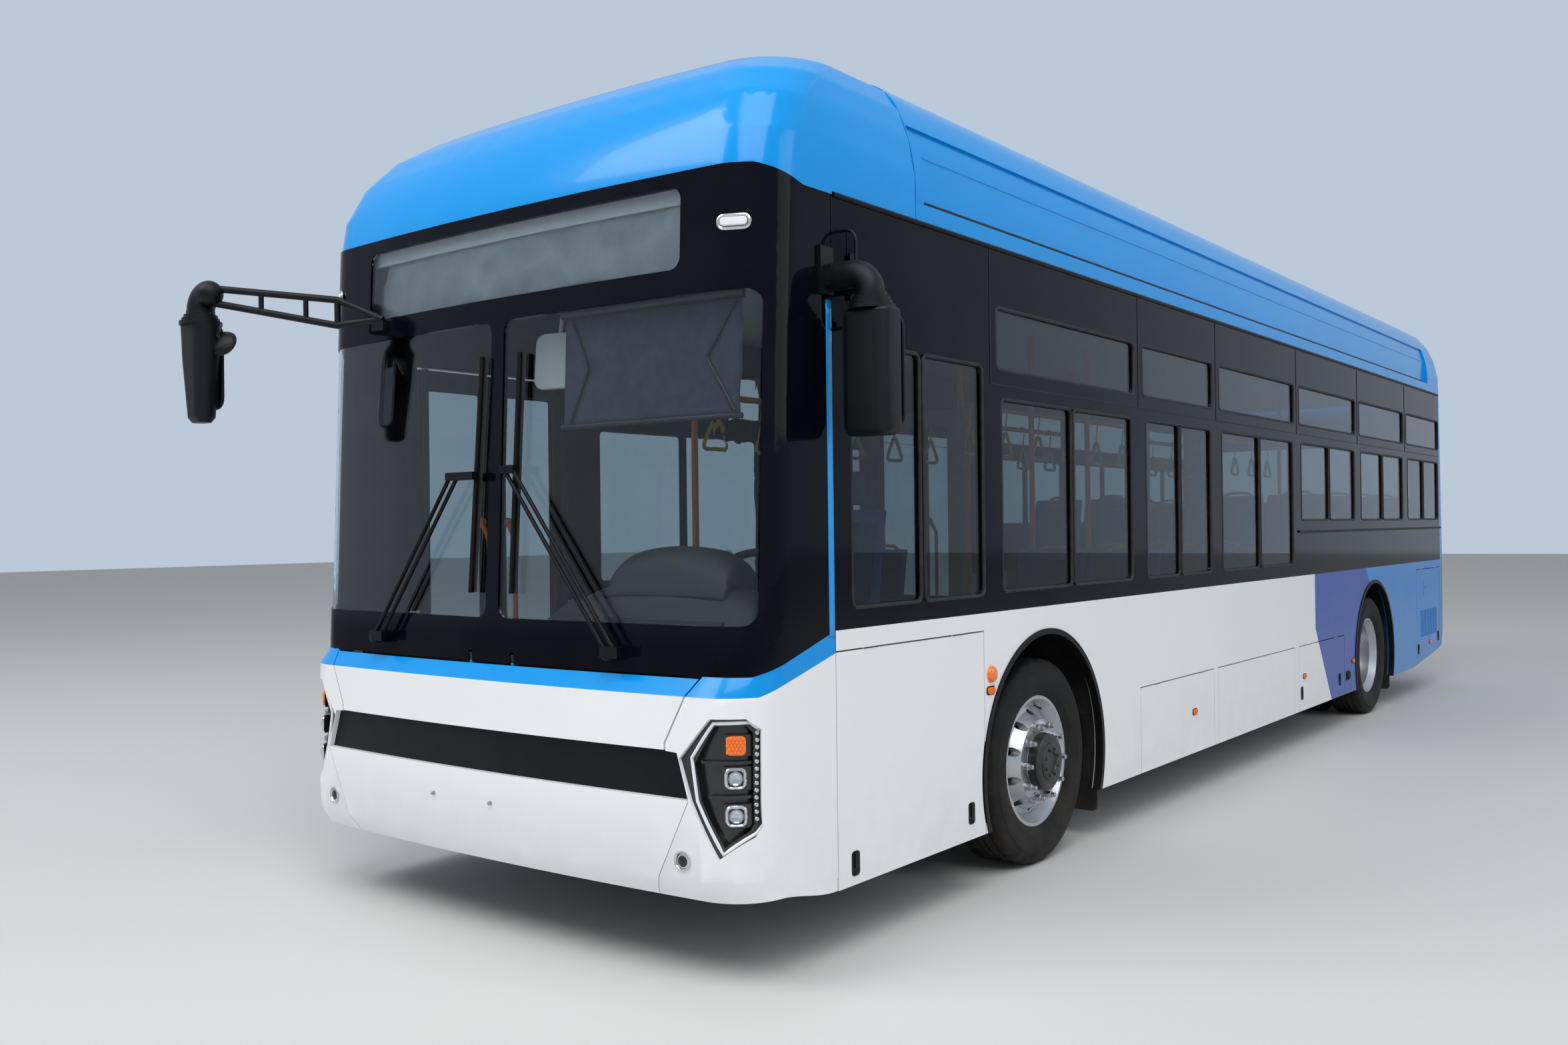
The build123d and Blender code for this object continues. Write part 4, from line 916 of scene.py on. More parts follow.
    def pillow(self, centre: Vector, across: Vector, along: Vector, wide: float, tall: float, thick: float,
               channels: tuple[float, ...] = ()) -> None:
        """Make a stuffed pad that is flat underneath.

        Args:
            centre: middle of its flat side.
            across: direction of its width.
            along: direction of its length.
            wide: its width.
            tall: its length.
            thick: its greatest thickness.
            channels: places of sewn channels along it, from -1 to 1.
        """
        rise = across.cross(along).normalized()
        steps = 14
        for side in (1.0, 0.0):
            rows = []
            for j in range(steps + 1):
                row = []
                for i in range(steps + 1):
                    u = math.sin((2 * i / steps - 1) * math.pi / 2)
                    v = math.sin((2 * j / steps - 1) * math.pi / 2)
                    pull = 1 - 0.03 * (u * u) * (1 - v * v) - 0.03 * (v * v) * (1 - u * u)
                    crown = math.sqrt(max(0.0, (1 - u ** 4) * (1 - v ** 4)))
                    for place in channels:
                        crown *= 1 - 0.3 * math.exp(-((v - place) / 0.06) ** 2)
                    row.append(centre + across * (u * wide / 2 * pull) + along * (v * tall / 2 * pull)
                               + rise * (thick * crown * side))
                rows.append(row)
            self.rows(rows)

    def done(self, shop: "Shop", finish: Finish | Glazing, body: str, bevel: float = 0.0,
             thick: float = 0.0, rounds: int = 0) -> bpy.types.Object:
        """Turn the mesh into a dressed piece that rides on a body.

        Args:
            shop: the workshop that holds the finishes.
            finish: the piece's finish.
            body: the body that carries it.
            bevel: width of its rounded edges.
            thick: thickness given to a sheet.
            rounds: subdivision steps.

        Returns:
            The piece.
        """
        bmesh.ops.remove_doubles(self.mesh, verts=self.mesh.verts, dist=0.000002)
        bmesh.ops.recalc_face_normals(self.mesh, faces=self.mesh.faces)
        data = bpy.data.meshes.new(self.name)
        self.mesh.to_mesh(data)
        self.mesh.free()
        data.polygons.foreach_set("use_smooth", [True] * len(data.polygons))
        data.set_sharp_from_angle(angle=math.radians(38))
        obj = bpy.data.objects.new(self.name, data)
        bpy.context.scene.collection.objects.link(obj)
        if thick:
            sheet = obj.modifiers.new("sheet", "SOLIDIFY")
            sheet.thickness = thick
            sheet.offset = 0.0
        if bevel:
            edge = obj.modifiers.new("edge", "BEVEL")
            edge.width = bevel
            edge.segments = 2
            edge.limit_method = "ANGLE"
            edge.angle_limit = math.radians(38)
        if rounds:
            smooth = obj.modifiers.new("smooth", "SUBSURF")
            smooth.levels = rounds
            smooth.render_levels = rounds
        shop.dresser.dress(obj, finish)
        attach(obj, body)
        LOG.info("piece %s on %s: %s", self.name, body, finish.name)
        return obj


@dataclass
class Shop:
    """What every sub-assembly works with."""

    dresser: Dresser
    nodes: dict[str, bpy.types.Object]
    marks: Landmarks
    carriers: dict[str, str]

    def __post_init__(self) -> None:
        """Make the probes."""
        self.mask = Skin(self.nodes, ("front_flap", "front_bumper", "front_corners", "grille_bar",
                                      "windscreen_surround", "windscreen_glass"))
        self.screen = Skin(self.nodes, ("windscreen_glass", "windscreen_surround"))
        self.lamps = Skin(self.nodes, ("headlamps",))
        self.sides = Skin(self.nodes, ("lower_wall_left", "lower_wall_right", "window_band_left",
                                       "window_band_right", "windscreen_surround", "front_corners",
                                       *SIDE_FLAPS, "rear_wall"))
        self.tail = Skin(self.nodes, ("rear_wall", "rear_lid", "tail_lamps"))

    def wall(self, side: Side) -> Probe:
        """Return the probe of one side's skin."""
        return self.sides.left if side is Side.LEFT else self.sides.right

    def carrier(self, y: float, z: float) -> str:
        """Find the body that carries the driver's side panel at a place.

        Args:
            y: place along the bus.
            z: height.

        Returns:
            The body's name.
        """
        for name in SIDE_FLAPS:
            low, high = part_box(name)
            if low.y <= y <= high.y and low.z <= z <= high.z:
                return self.carriers[name]
        return "body"


@dataclass
class HeadLamps:
    """Light guides, lenses and diodes in the lamp bowls."""

    guide: tuple[Flat, ...] = ((1.030, 0.786), (1.112, 0.905), (1.207, 0.908), (1.226, 0.878),
                               (1.228, 0.563), (1.218, 0.536), (1.142, 0.470), (1.056, 0.645))
    guide_radius: float = 0.0065
    diode_x: float = 1.219
    diode_span: Flat = (0.585, 0.872)
    diodes: int = 13
    amber: Flat = (1.172, 0.831)
    amber_size: Triple = (0.066, 0.064, 0.014)
    cells: int = 5
    cell_pitch: Flat = (0.0125, 0.0115)
    beams: tuple[Flat, ...] = ((1.172, 0.7215), (1.174, 0.5965))
    beam_size: Triple = (0.062, 0.062, 0.016)

    def build(self, shop: Shop) -> None:
        """Build both sides.

        Args:
            shop: the workshop.
        """
        for side in Side:
            self.guides(shop, side)
            self.lenses(shop, side)

    def guides(self, shop: Shop, side: Side) -> None:
        """Lay the light guide and its diodes on the rim.

        Args:
            shop: the workshop.
            side: the side of the bus.
        """
        guide = Shape(f"lamp_guide_{side.value}")
        loop = [shop.lamps.front(side.sign * x, z)[0] for x, z in spaced(self.guide, 0.03, True)]
        guide.tube(loop, self.guide_radius, closed=True)
        guide.done(shop, GUIDE, "body")
        diodes = Shape(f"lamp_diodes_{side.value}")
        low, high = self.diode_span
        for k in range(self.diodes):
            z = low + (high - low) * k / (self.diodes - 1)
            spot, normal = shop.lamps.front(side.sign * self.diode_x, z)
            diodes.lathe([(-0.002, 0.009), (0.004, 0.009), (0.008, 0.006), (0.0095, 0.0)], spot, normal, 12)
        diodes.done(shop, CHROME, "body")

    def lenses(self, shop: Shop, side: Side) -> None:
        """Set the amber lens and the two beam lenses on their pods.

        Args:
            shop: the workshop.
            side: the side of the bus.
        """
        spot, normal = shop.lamps.front(side.sign * self.amber[0], self.amber[1])
        across, up = face_axes(normal)
        amber = Shape(f"lamp_amber_{side.value}")
        amber.plate(rounded(*self.amber_size), spot, normal, 0.006)
        for row in range(self.cells):
            for column in range(self.cells):
                aside = (column - self.cells // 2 + 0.5 * (row % 2) - 0.25) * self.cell_pitch[0]
                rise = (row - self.cells // 2) * self.cell_pitch[1]
                amber.lathe([(0.005, 0.0066), (0.009, 0.0052), (0.011, 0.0)],
                            spot + (across * aside + up * rise), normal, 6)
        amber.done(shop, AMBER, "body")
        rings = Shape(f"lamp_rings_{side.value}")
        glass = Shape(f"lamp_beams_{side.value}")
        for x, z in self.beams:
            spot, normal = shop.lamps.front(side.sign * x, z)
            rings.bead(rounded(*self.beam_size), spot, normal, 0.006, 0.004)
            rings.lathe([(0.001, 0.026), (0.006, 0.025), (0.003, 0.012), (0.002, 0.0)], spot, normal, 24)
            glass.lathe([(0.004, 0.025), (0.010, 0.0235), (0.016, 0.017), (0.019, 0.008), (0.0195, 0.0)],
                        spot, normal, 24)
        rings.done(shop, CHROME, "body")
        glass.done(shop, LENS_GLASS, "body")


@dataclass
class FrontTrim:
    """Small fittings of the nose: markers, sensors, studs and pillar strips."""

    marker: Flat = (1.135, 2.60)
    marker_size: Triple = (0.098, 0.03, 0.014)
    marker_rim: Triple = (0.112, 0.044, 0.021)
    sensor: Flat = (0.997, 0.436)
    studs: tuple[Flat, ...] = ((-0.28, 0.53), (0.06, 0.53))
    strip_width: float = 0.034
    strip_top: float = 2.37

    def build(self, shop: Shop) -> None:
        """Build every fitting.

        Args:
            shop: the workshop.
        """
        marker = Shape("front_markers")
        rim = Shape("front_marker_rims")
        sensor = Shape("front_sensors")
        eye = Shape("front_sensor_eyes")
        strips = Shape("pillar_strips")
        for side in Side:
            spot, normal = shop.mask.front(side.sign * self.marker[0], self.marker[1])
            marker.plate(rounded(*self.marker_size), spot, normal, 0.012)
            rim.bead(rounded(*self.marker_rim), spot, normal, 0.007)
            spot, normal = shop.mask.front(side.sign * self.sensor[0], self.sensor[1])
            sensor.lathe([(-0.002, 0.035), (0.005, 0.034), (0.007, 0.028), (0.002, 0.024), (-0.004, 0.022)],
                         spot, normal, 28)
            eye.lathe([(-0.004, 0.021), (0.002, 0.019), (0.006, 0.010), (0.007, 0.0)], spot, normal, 20)
            self.strip(shop, strips, side)
        marker.done(shop, GUIDE, "body", bevel=0.004)
        rim.done(shop, CHROME, "body")
        sensor.done(shop, CHROME, "body")
        eye.done(shop, HUB_BLACK, "body")
        strips.done(shop, STRIPE, "body", thick=0.002)
        studs = Shape("plate_studs")
        for x, z in self.studs:
            spot, normal = shop.mask.front(x, z)
            studs.lathe([(-0.002, 0.009), (0.003, 0.009), (0.004, 0.006), (0.012, 0.006), (0.013, 0.0)],
                        spot, normal, 6)
        studs.done(shop, NUT, "body")

    def strip(self, shop: Shop, strips: Shape, side: Side) -> None:
        """Lay the blue strip along the back edge of one windscreen pillar.

        Args:
            shop: the workshop.
            strips: the mesh that takes the strip.
            side: the side of the bus.
        """
        back = shop.marks.nose - 0.006
        edge = back - self.strip_width
        foot = shop.marks.waist - 0.02
        corners = [(edge, foot), (back, foot), (back, self.strip_top), (edge, self.strip_top)]
        strips.drape(shop.wall(side), corners, 3, 24, 0.0012)


@dataclass
class WiperDress:
    """Rubber blades and pivot caps of the two wipers."""

    pivots: tuple[Flat, ...] = ((0.655, 1.12), (-0.695, 1.126))
    blades: tuple[Flat, ...] = ((0.138, 0.157), (-0.097, -0.059))
    span: Flat = (1.32, 2.235)
    steps: int = 24

    def build(self, shop: Shop) -> None:
        """Build both wipers' rubber and caps.

        Args:
            shop: the workshop.
        """
        rubber = Shape("wiper_rubber")
        caps = Shape("wiper_caps")
        for pivot, (low_x, high_x) in zip(self.pivots, self.blades):
            line = []
            for k in range(self.steps + 1):
                share = k / self.steps
                x = low_x + (high_x - low_x) * share
                z = self.span[0] + (self.span[1] - self.span[0]) * share
                spot, normal = shop.screen.front(x, z)
                line.append(spot + normal * 0.009)
            rubber.tube(line, 0.008, sides=6, flat=0.45)
            spot, normal = shop.screen.front(*pivot)
            caps.lathe([(0.048, 0.027), (0.056, 0.026), (0.062, 0.020), (0.064, 0.0)], spot, normal, 24)
        rubber.done(shop, RUBBER, "body")
        caps.done(shop, BLACK_TRIM, "body")


@dataclass
class MirrorDress:
    """Looking glasses and the small round mirror."""

    left_inset: Flat = (0.103, 0.23)
    left_size: Triple = (0.17, 0.39, 0.04)
    right_inset: Flat = (0.096, 0.24)
    right_size: Triple = (0.12, 0.34, 0.04)
    rim_margin: float = 0.012
    rim_corner: float = 0.045
    round_place: Triple = (0.2, 0.12, -0.26)
    round_aim: Triple = (-0.35, 0.8, -0.45)

    def build(self, shop: Shop) -> None:
        """Build the glasses at the backs of the two heads.

        Args:
            shop: the workshop.
        """
        glass = Shape("mirror_glasses")
        rims = Shape("mirror_rims")
        heads = Skin(shop.nodes, ("mirrors",))
        boxes = islands(shop.nodes["mirrors"])
        for low, high in boxes:
            if low.x + high.x > 0:
                size = self.left_size
                place = (high.x - self.left_inset[0], low.z + self.left_inset[1])
            else:
                size = self.right_size
                place = (low.x + self.right_inset[0], low.z + self.right_inset[1])
            spot = heads.rear(*place)[0]
            glass.plate(rounded(*size), spot, BACK, 0.004, -0.001)
            rim = rounded(size[0] + self.rim_margin, size[1] + self.rim_margin, self.rim_corner)
            rims.bead(rim, spot, BACK, 0.006, 0.002)
        low, high = boxes[0]
        spot = Vector((low.x, low.y, high.z)) + Vector(self.round_place)
        aim = Vector(self.round_aim)
        rims.lathe([(-0.012, 0.03), (0.0, 0.055), (0.012, 0.062), (0.018, 0.058)], spot, aim, 28)
        rims.tube([spot, spot + Vector((-0.03, -0.02, 0.06)), spot + Vector((-0.05, -0.03, 0.13))], 0.009)
        glass.lathe([(0.016, 0.056), (0.021, 0.045), (0.024, 0.02), (0.0245, 0.0)], spot, aim, 28)
        glass.done(shop, LOOKING_GLASS, "body")
        rims.done(shop, MIRROR_SHELL, "body")


@dataclass
class SideGlazing:
    """Gaskets round the panes, rails, seams and the drip rail."""

    gasket: float = 0.009
    pane_corner: float = 0.03
    side_pane_depth: float = 0.5
    posts: tuple[float, ...] = (1.76, 3.36, 4.52, 6.103, 7.675, 9.237)
    seam: float = 0.0025
    seam_low: float = 2.165
    drip_rail: float = 0.010
    rail_span: Flat = (6.12, 10.63)
    rail_z: float = 1.488
    rail: float = 0.014

    def build(self, shop: Shop) -> None:
        """Build both sides' glazing trim.

        Args:
            shop: the workshop.
        """
        self.gaskets(shop)
        self.lines(shop)

    def gaskets(self, shop: Shop) -> None:
        """Seat a gasket round every side pane.

        Args:
            shop: the workshop.
        """
        gaskets = Shape("pane_gaskets")
        for low, high in islands(shop.nodes["saloon_glass"]):
            if high.x - low.x > self.side_pane_depth:
                continue
            sign = 1 if low.x > 0 else -1
            x = sign * (shop.marks.side - 0.005)
            middle = (low + high) / 2
            outline = rounded(high.y - low.y + 0.002, high.z - low.z + 0.002, self.pane_corner)
            loop = [Vector((x, middle.y + a, middle.z + b)) for a, b in outline]
            gaskets.tube(loop, self.gasket, closed=True)
        gaskets.done(shop, RUBBER, "body")

    def lines(self, shop: Shop) -> None:
        """Run the drip rails, the window rail and the panel seams.

        Args:
            shop: the workshop.
        """
        rails = Shape("side_rails")
        seams = Shape("panel_seams")
        front = shop.marks.front
        top = shop.marks.band_top
        for side in Side:
            x = side.sign * (shop.marks.side + 0.001)
            rails.tube([Vector((x, shop.marks.nose + 0.01, top)), Vector((x, front + 1.17, top)),
                        Vector((x, shop.marks.rear - 0.27, top))], self.drip_rail, sides=10)
            if side is Side.LEFT:
                rails.tube([Vector((x, front + y, self.rail_z)) for y in self.rail_span], self.rail,
                           sides=8, flat=0.5)
            for post in self.posts:
                seams.tube([Vector((x, front + post, self.seam_low)), Vector((x, front + post, top - 0.015))],
                           self.seam, sides=6)
            seams.tube([Vector((x, front + self.posts[0], self.seam_low)),
                        Vector((x, shop.marks.rear - 0.26, self.seam_low))], self.seam, sides=6)
        rails.done(shop, BLACK_TRIM, "body")
        seams.done(shop, RUBBER, "body")


@dataclass
class SideFittings:
    """Handles, markers, caps, small lids and corner skirts of the sides."""

    handles: tuple[Flat, ...] = ((-3.672, 0.361), (-4.525, 0.33), (0.925, 0.374), (1.871, 0.378),
                                 (4.44, 0.40), (5.251, 0.465))
    handle_size: Triple = (0.05, 0.09, 0.014)
    latch_size: Triple = (0.020, 0.060, 0.008)
    markers: tuple[Flat, ...] = ((-3.495, 0.853), (-1.11, 0.484), (0.99, 0.486), (2.244, 0.486),
                                 (4.904, 0.434))
    marker_size: Triple = (0.062, 0.028, 0.012)
    marker_foot: Triple = (0.076, 0.038, 0.016)
    indicator: Flat = (-3.49, 0.922)
    cap: Flat = (2.106, 0.387)
    lid: Flat = (4.705, 0.945)
    lid_size: Triple = (0.100, 0.150, 0.010)
    skirt_span: Flat = (-4.640, -5.0)
    skirt_foot: float = 0.2525
    skirt_top: float = 0.304
    skirt_steps: int = 12

    def build(self, shop: Shop) -> None:
        """Build every fitting on the panel that carries it.

        Args:
            shop: the workshop.
        """
        for k, place in enumerate(self.handles):
            self.handle(shop, f"lid_handle_{k}", place)
        for side in Side:
            self.lamps(shop, side)
            self.skirt(shop, side)
        spot, normal = shop.sides.left(*self.cap)
        cap = Shape("charge_cap")
        cap.lathe([(-0.001, 0.036), (0.008, 0.034), (0.010, 0.028), (0.006, 0.024), (0.009, 0.010),
                   (0.009, 0.0)], spot, normal, 24)
        cap.plate(rounded(0.030, 0.07, 0.008), spot - Vector((0, 0.05, 0)), normal, 0.004, -0.001)
        cap.done(shop, BLACK_TRIM, "body")
        spot, normal = shop.sides.left(*self.lid)
        lid = Shape("small_side_lid")
        lid.plate(rounded(*self.lid_size), spot, normal, 0.003, -0.001)
        lid.lathe([(0.002, 0.012), (0.005, 0.011), (0.004, 0.006), (0.004, 0.0)],
                  spot + Vector((0, 0.03, 0)), normal, 16)
        lid.done(shop, TAIL_PAINT, shop.carrier(*self.lid), bevel=0.001)

    def handle(self, shop: Shop, name: str, place: Flat) -> None:
        """Set one latch handle on the driver's side.

        Args:
            shop: the workshop.
            name: the piece's name.
            place: its place along the bus and its height.
        """
        spot, normal = shop.sides.left(*place)
        handle = Shape(name)
        handle.plate(rounded(*self.handle_size), spot, normal, 0.004, -0.001)
        handle.plate(rounded(*self.latch_size), spot + Vector((0, 0, 0.012)), normal, 0.005, 0.002)
        handle.lathe([(0.003, 0.008), (0.006, 0.0075), (0.0065, 0.0)], spot - Vector((0, 0, 0.036)),
                     normal, 14)
        handle.done(shop, BLACK_TRIM, shop.carrier(*place), bevel=0.001)

    def lamps(self, shop: Shop, side: Side) -> None:
        """Build the marker lamps and the indicator of one side.

        Args:
            shop: the workshop.
            side: the side of the bus.
        """
        probe = shop.wall(side)
        for k, (y, z) in enumerate(self.markers):
            spot, normal = probe(y, z)
            body = shop.carrier(y, z) if side is Side.LEFT else "body"
            marker = Shape(f"side_marker_{side.value}_{k}")
            marker.plate(rounded(*self.marker_size), spot, normal, 0.009, -0.001)
            for rib in range(5):
                shift = Vector((0, (rib - 2) * 0.009, 0))
                marker.plate(rounded(0.004, 0.022, 0.0015), spot + shift, normal, 0.003, 0.008)
            marker.done(shop, AMBER, body, bevel=0.002)
            foot = Shape(f"side_marker_foot_{side.value}_{k}")
            foot.plate(rounded(*self.marker_foot), spot, normal, 0.003, -0.001)
            foot.done(shop, BLACK_TRIM, body, bevel=0.001)
        spot, normal = probe(*self.indicator)
        lens = Shape(f"side_indicator_{side.value}")
        lens.lathe([(-0.001, 0.036), (0.007, 0.036), (0.016, 0.029), (0.021, 0.014), (0.022, 0.0)],
                   spot, normal, 28)
        lens.done(shop, AMBER, "body")

    def skirt(self, shop: Shop, side: Side) -> None:
        """Run the wall's lower edge out under the front corner.

        Args:
            shop: the workshop.
            side: the side of the bus.
        """
        probe = shop.wall(side)
        start, stop = self.skirt_span
        rows = []
        for k in range(self.skirt_steps + 1):
            share = k / self.skirt_steps
            skin, normal = probe(start + (stop - start) * share, self.skirt_top + 0.004)
            ease = share * share * (3 - 2 * share)
            foot = self.skirt_foot + (self.skirt_top - 0.003 - self.skirt_foot) * ease
            outer = skin - normal * 0.0008
            inner = skin - normal * 0.012
            edge = outer * 0.8 + inner * 0.2
            section = ((outer, self.skirt_top), (outer, foot + 0.002), (edge, foot), (inner, foot),
                       (inner, self.skirt_top))
            rows.append([Vector((p.x, p.y, z)) for p, z in section])
        skirt = Shape(f"corner_skirt_{side.value}")
        skirt.rows(rows, wrap=True, caps=True)
        skirt.done(shop, PAINT, "body")


@dataclass(frozen=True)
class Corner:
    """Place and names of one wheel."""

    centre: Vector
    side: Side
    end: End
    body: str

    @property
    def name(self) -> str:
        """Ending of the names of the corner's nodes and pieces."""
        return f"{self.end.value}_{self.side.value}"

    @property
    def out(self) -> Vector:
        """Direction away from the bus."""
        return Vector((self.side.sign, 0, 0))


@dataclass
class Wheels:
    """Tyres with grooves, nuts, hub covers and valves."""

    tread: tuple[Flat, ...] = (
        (-0.108, 0.3005), (-0.121, 0.326), (-0.1285, 0.341), (-0.1285, 0.346), (-0.133, 0.360),
        (-0.1375, 0.392), (-0.1350, 0.418), (-0.1320, 0.421), (-0.1280, 0.440), (-0.121, 0.452),
        (-0.112, 0.463), (-0.1015, 0.4692), (-0.072, 0.4698), (-0.0695, 0.4585), (-0.0605, 0.4585),
        (-0.058, 0.4698), (-0.026, 0.4699), (-0.0235, 0.4585), (-0.0145, 0.4585), (-0.012, 0.4699))
    half_width: float = 0.1375
    segments: int = 128
    groove_every: int = 4
    groove_depth: float = 0.0075
    shoulder_radius: float = 0.461
    middle_half: float = 0.05
    twin_pitch: float = 0.32
    studs: int = 10
    stud_circle: float = 0.1675
    stud_radius: float = 0.011
    stud_reach: float = 0.1695
    cover_bolts: int = 8
    bolt_circle: float = 0.062
    nut_face: dict[End, float] = field(default_factory=lambda: {End.FRONT: 0.124, End.REAR: -0.134})
    cap_face: dict[End, float] = field(default_factory=lambda: {End.FRONT: 0.172, End.REAR: -0.026})
    valve_face: dict[End, float] = field(default_factory=lambda: {End.FRONT: 0.06, End.REAR: -0.02})

    def build(self, shop: Shop) -> None:
        """Build the four corners.

        Args:
            shop: the workshop.
        """
        for side in Side:
            for end in End:
                name = f"{end.value}_{side.value}"
                low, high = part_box(f"tyre_{name}")
                x = high.x - self.half_width if side is Side.LEFT else low.x + self.half_width
                wheel_low, wheel_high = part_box(f"wheel_{name}")
                centre = Vector((x, (wheel_low.y + wheel_high.y) / 2, shop.marks.hub))
                corner = Corner(centre, side, end, shop.carriers[f"wheel_{name}"])
                self.tyre(shop, corner)
                self.nuts(shop, corner)
                self.cap(shop, corner)
                self.valve(shop, corner)

    def tyre(self, shop: Shop, corner: Corner) -> None:
        """Turn the tyre or the twin tyres and cut cross grooves in their shoulders.

        Args:
            shop: the workshop.
            corner: the wheel's corner.
        """
        profile = list(self.tread) + [(-a, r) for a, r in reversed(self.tread)]
        shape = Shape(f"tyre_{corner.name}_rubber")
        middles = [corner.centre]
        if corner.end is End.REAR:
            middles.append(corner.centre - corner.out * self.twin_pitch)
        for middle in middles:
            shape.lathe(profile, middle, ASIDE, self.segments, closed=True)
        for vertex in shape.mesh.verts:
            middle = min(middles, key=lambda m: abs(m.x - vertex.co.x))
            flat = vertex.co - middle
            radius = math.hypot(flat.y, flat.z)
            step = round(math.atan2(flat.z, flat.y) / (2 * math.pi) * self.segments) % self.groove_every
            if radius > self.shoulder_radius and step == 0 and abs(flat.x) > self.middle_half:
                shrink = (radius - self.groove_depth) / radius
                vertex.co = Vector((vertex.co.x, middle.y + flat.y * shrink, middle.z + flat.z * shrink))
        obj = shape.done(shop, TYRE, corner.body)
        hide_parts(f"tyre_{corner.name}")

    def nuts(self, shop: Shop, corner: Corner) -> None:
        """Screw a washer, a nut and a stud end on every stud.

        Args:
            shop: the workshop.
            corner: the wheel's corner.
        """
        nuts = Shape(f"wheel_nuts_{corner.name}")
        first = self.first_stud(shop, corner)
        for k in range(self.studs):
            angle = first + 2 * math.pi * k / self.studs
            arm = Vector((0, math.cos(angle), math.sin(angle)))
            spot = corner.centre + corner.out * self.nut_face[corner.end] + arm * self.stud_circle
            nuts.lathe([(0.0, 0.024), (0.004, 0.024), (0.005, 0.0175)], spot, corner.out, 20)
            nuts.lathe([(0.004, 0.0175), (0.026, 0.0175), (0.029, 0.0145)], spot, corner.out, 6)
            nuts.lathe([(0.027, 0.011), (0.047, 0.011), (0.049, 0.009), (0.049, 0.0)], spot, corner.out, 14)
        nuts.done(shop, NUT, corner.body)

    def cap(self, shop: Shop, corner: Corner) -> None:
        """Close the hub with a bolted cover, and sleeve the front hub.

        Args:
            shop: the workshop.
            corner: the wheel's corner.
        """
        cap = Shape(f"hub_cap_{corner.name}")
        base = self.cap_face[corner.end]
        cap.lathe([(base - 0.002, 0.088), (base + 0.006, 0.086), (base + 0.012, 0.074), (base + 0.012, 0.05),
                   (base + 0.005, 0.046), (base + 0.006, 0.0)], corner.centre, corner.out, 40)
        for k in range(self.cover_bolts):
            angle = 2 * math.pi * (k + 0.5) / self.cover_bolts
            arm = Vector((0, math.cos(angle), math.sin(angle)))
            cap.lathe([(base + 0.010, 0.0075), (base + 0.018, 0.0075), (base + 0.019, 0.005)],
                      corner.centre + arm * self.bolt_circle, corner.out, 6)
        if corner.end is End.FRONT:
            cap.lathe([(base - 0.046, 0.1325), (base - 0.004, 0.1285), (base + 0.003, 0.118),
                       (base + 0.003, 0.084)], corner.centre, corner.out, 48)
        cap.done(shop, HUB_BLACK, corner.body)

    def valve(self, shop: Shop, corner: Corner) -> None:
        """Fit the tyre's valve.

        Args:
            shop: the workshop.
            corner: the wheel's corner.
        """
        valve = Shape(f"tyre_valve_{corner.name}")
        start = corner.centre + corner.out * self.valve_face[corner.end] + Vector((0, 0.07, 0.245))
        lean = Vector((0, -0.004, -0.012))
        valve.tube([start - corner.out * 0.03, start, start + corner.out * 0.03 + lean], 0.004)
        valve.lathe([(0.0, 0.0055), (0.012, 0.0055), (0.013, 0.003)], start + corner.out * 0.028 + lean,
                    corner.out, 10)
        valve.done(shop, HUB_BLACK, corner.body)

    def first_stud(self, shop: Shop, corner: Corner) -> float:
        """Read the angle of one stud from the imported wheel.

        Args:
            shop: the workshop.
            corner: the wheel's corner.

        Returns:
            The angle round the hub.
        """
        if corner.end is End.REAR:
            return 0.0
        reach = abs(corner.centre.x) + self.stud_reach
        for vertex in shop.nodes[f"wheel_{corner.name}"].data.vertices:
            flat = vertex.co - corner.centre
            off = math.hypot(flat.y, flat.z) - self.stud_circle - self.stud_radius
            if abs(vertex.co.x) > reach and abs(off) < 0.0004:
                return math.atan2(flat.z, flat.y)
        return 0.0


@dataclass
class Arches:
    """Mud flaps behind the wheels."""

    flap_x: float = 1.075
    flap_behind: float = 0.612
    flap_z: float = 0.37
    flap_size: Triple = (0.27, 0.48, 0.03)
    ribs: int = 5
    rib_pitch: float = 0.05
    rib_size: Triple = (0.010, 0.30, 0.004)

    def build(self, shop: Shop) -> None:
        """Hang a ribbed flap behind each wheel.

        Args:
            shop: the workshop.
        """
        flaps = Shape("mud_flaps")
        for axle in (shop.marks.front_axle, shop.marks.rear_axle):
            for side in Side:
                centre = Vector((side.sign * self.flap_x, axle + self.flap_behind, self.flap_z))
                flaps.plate(rounded(*self.flap_size), centre, BACK, 0.008)
                for rib in range(self.ribs):
                    spot = centre + Vector(((rib - self.ribs // 2) * self.rib_pitch, 0.008, -0.03))
                    flaps.plate(rounded(*self.rib_size), spot, BACK, 0.005)
        flaps.done(shop, RUBBER, "body", bevel=0.001)


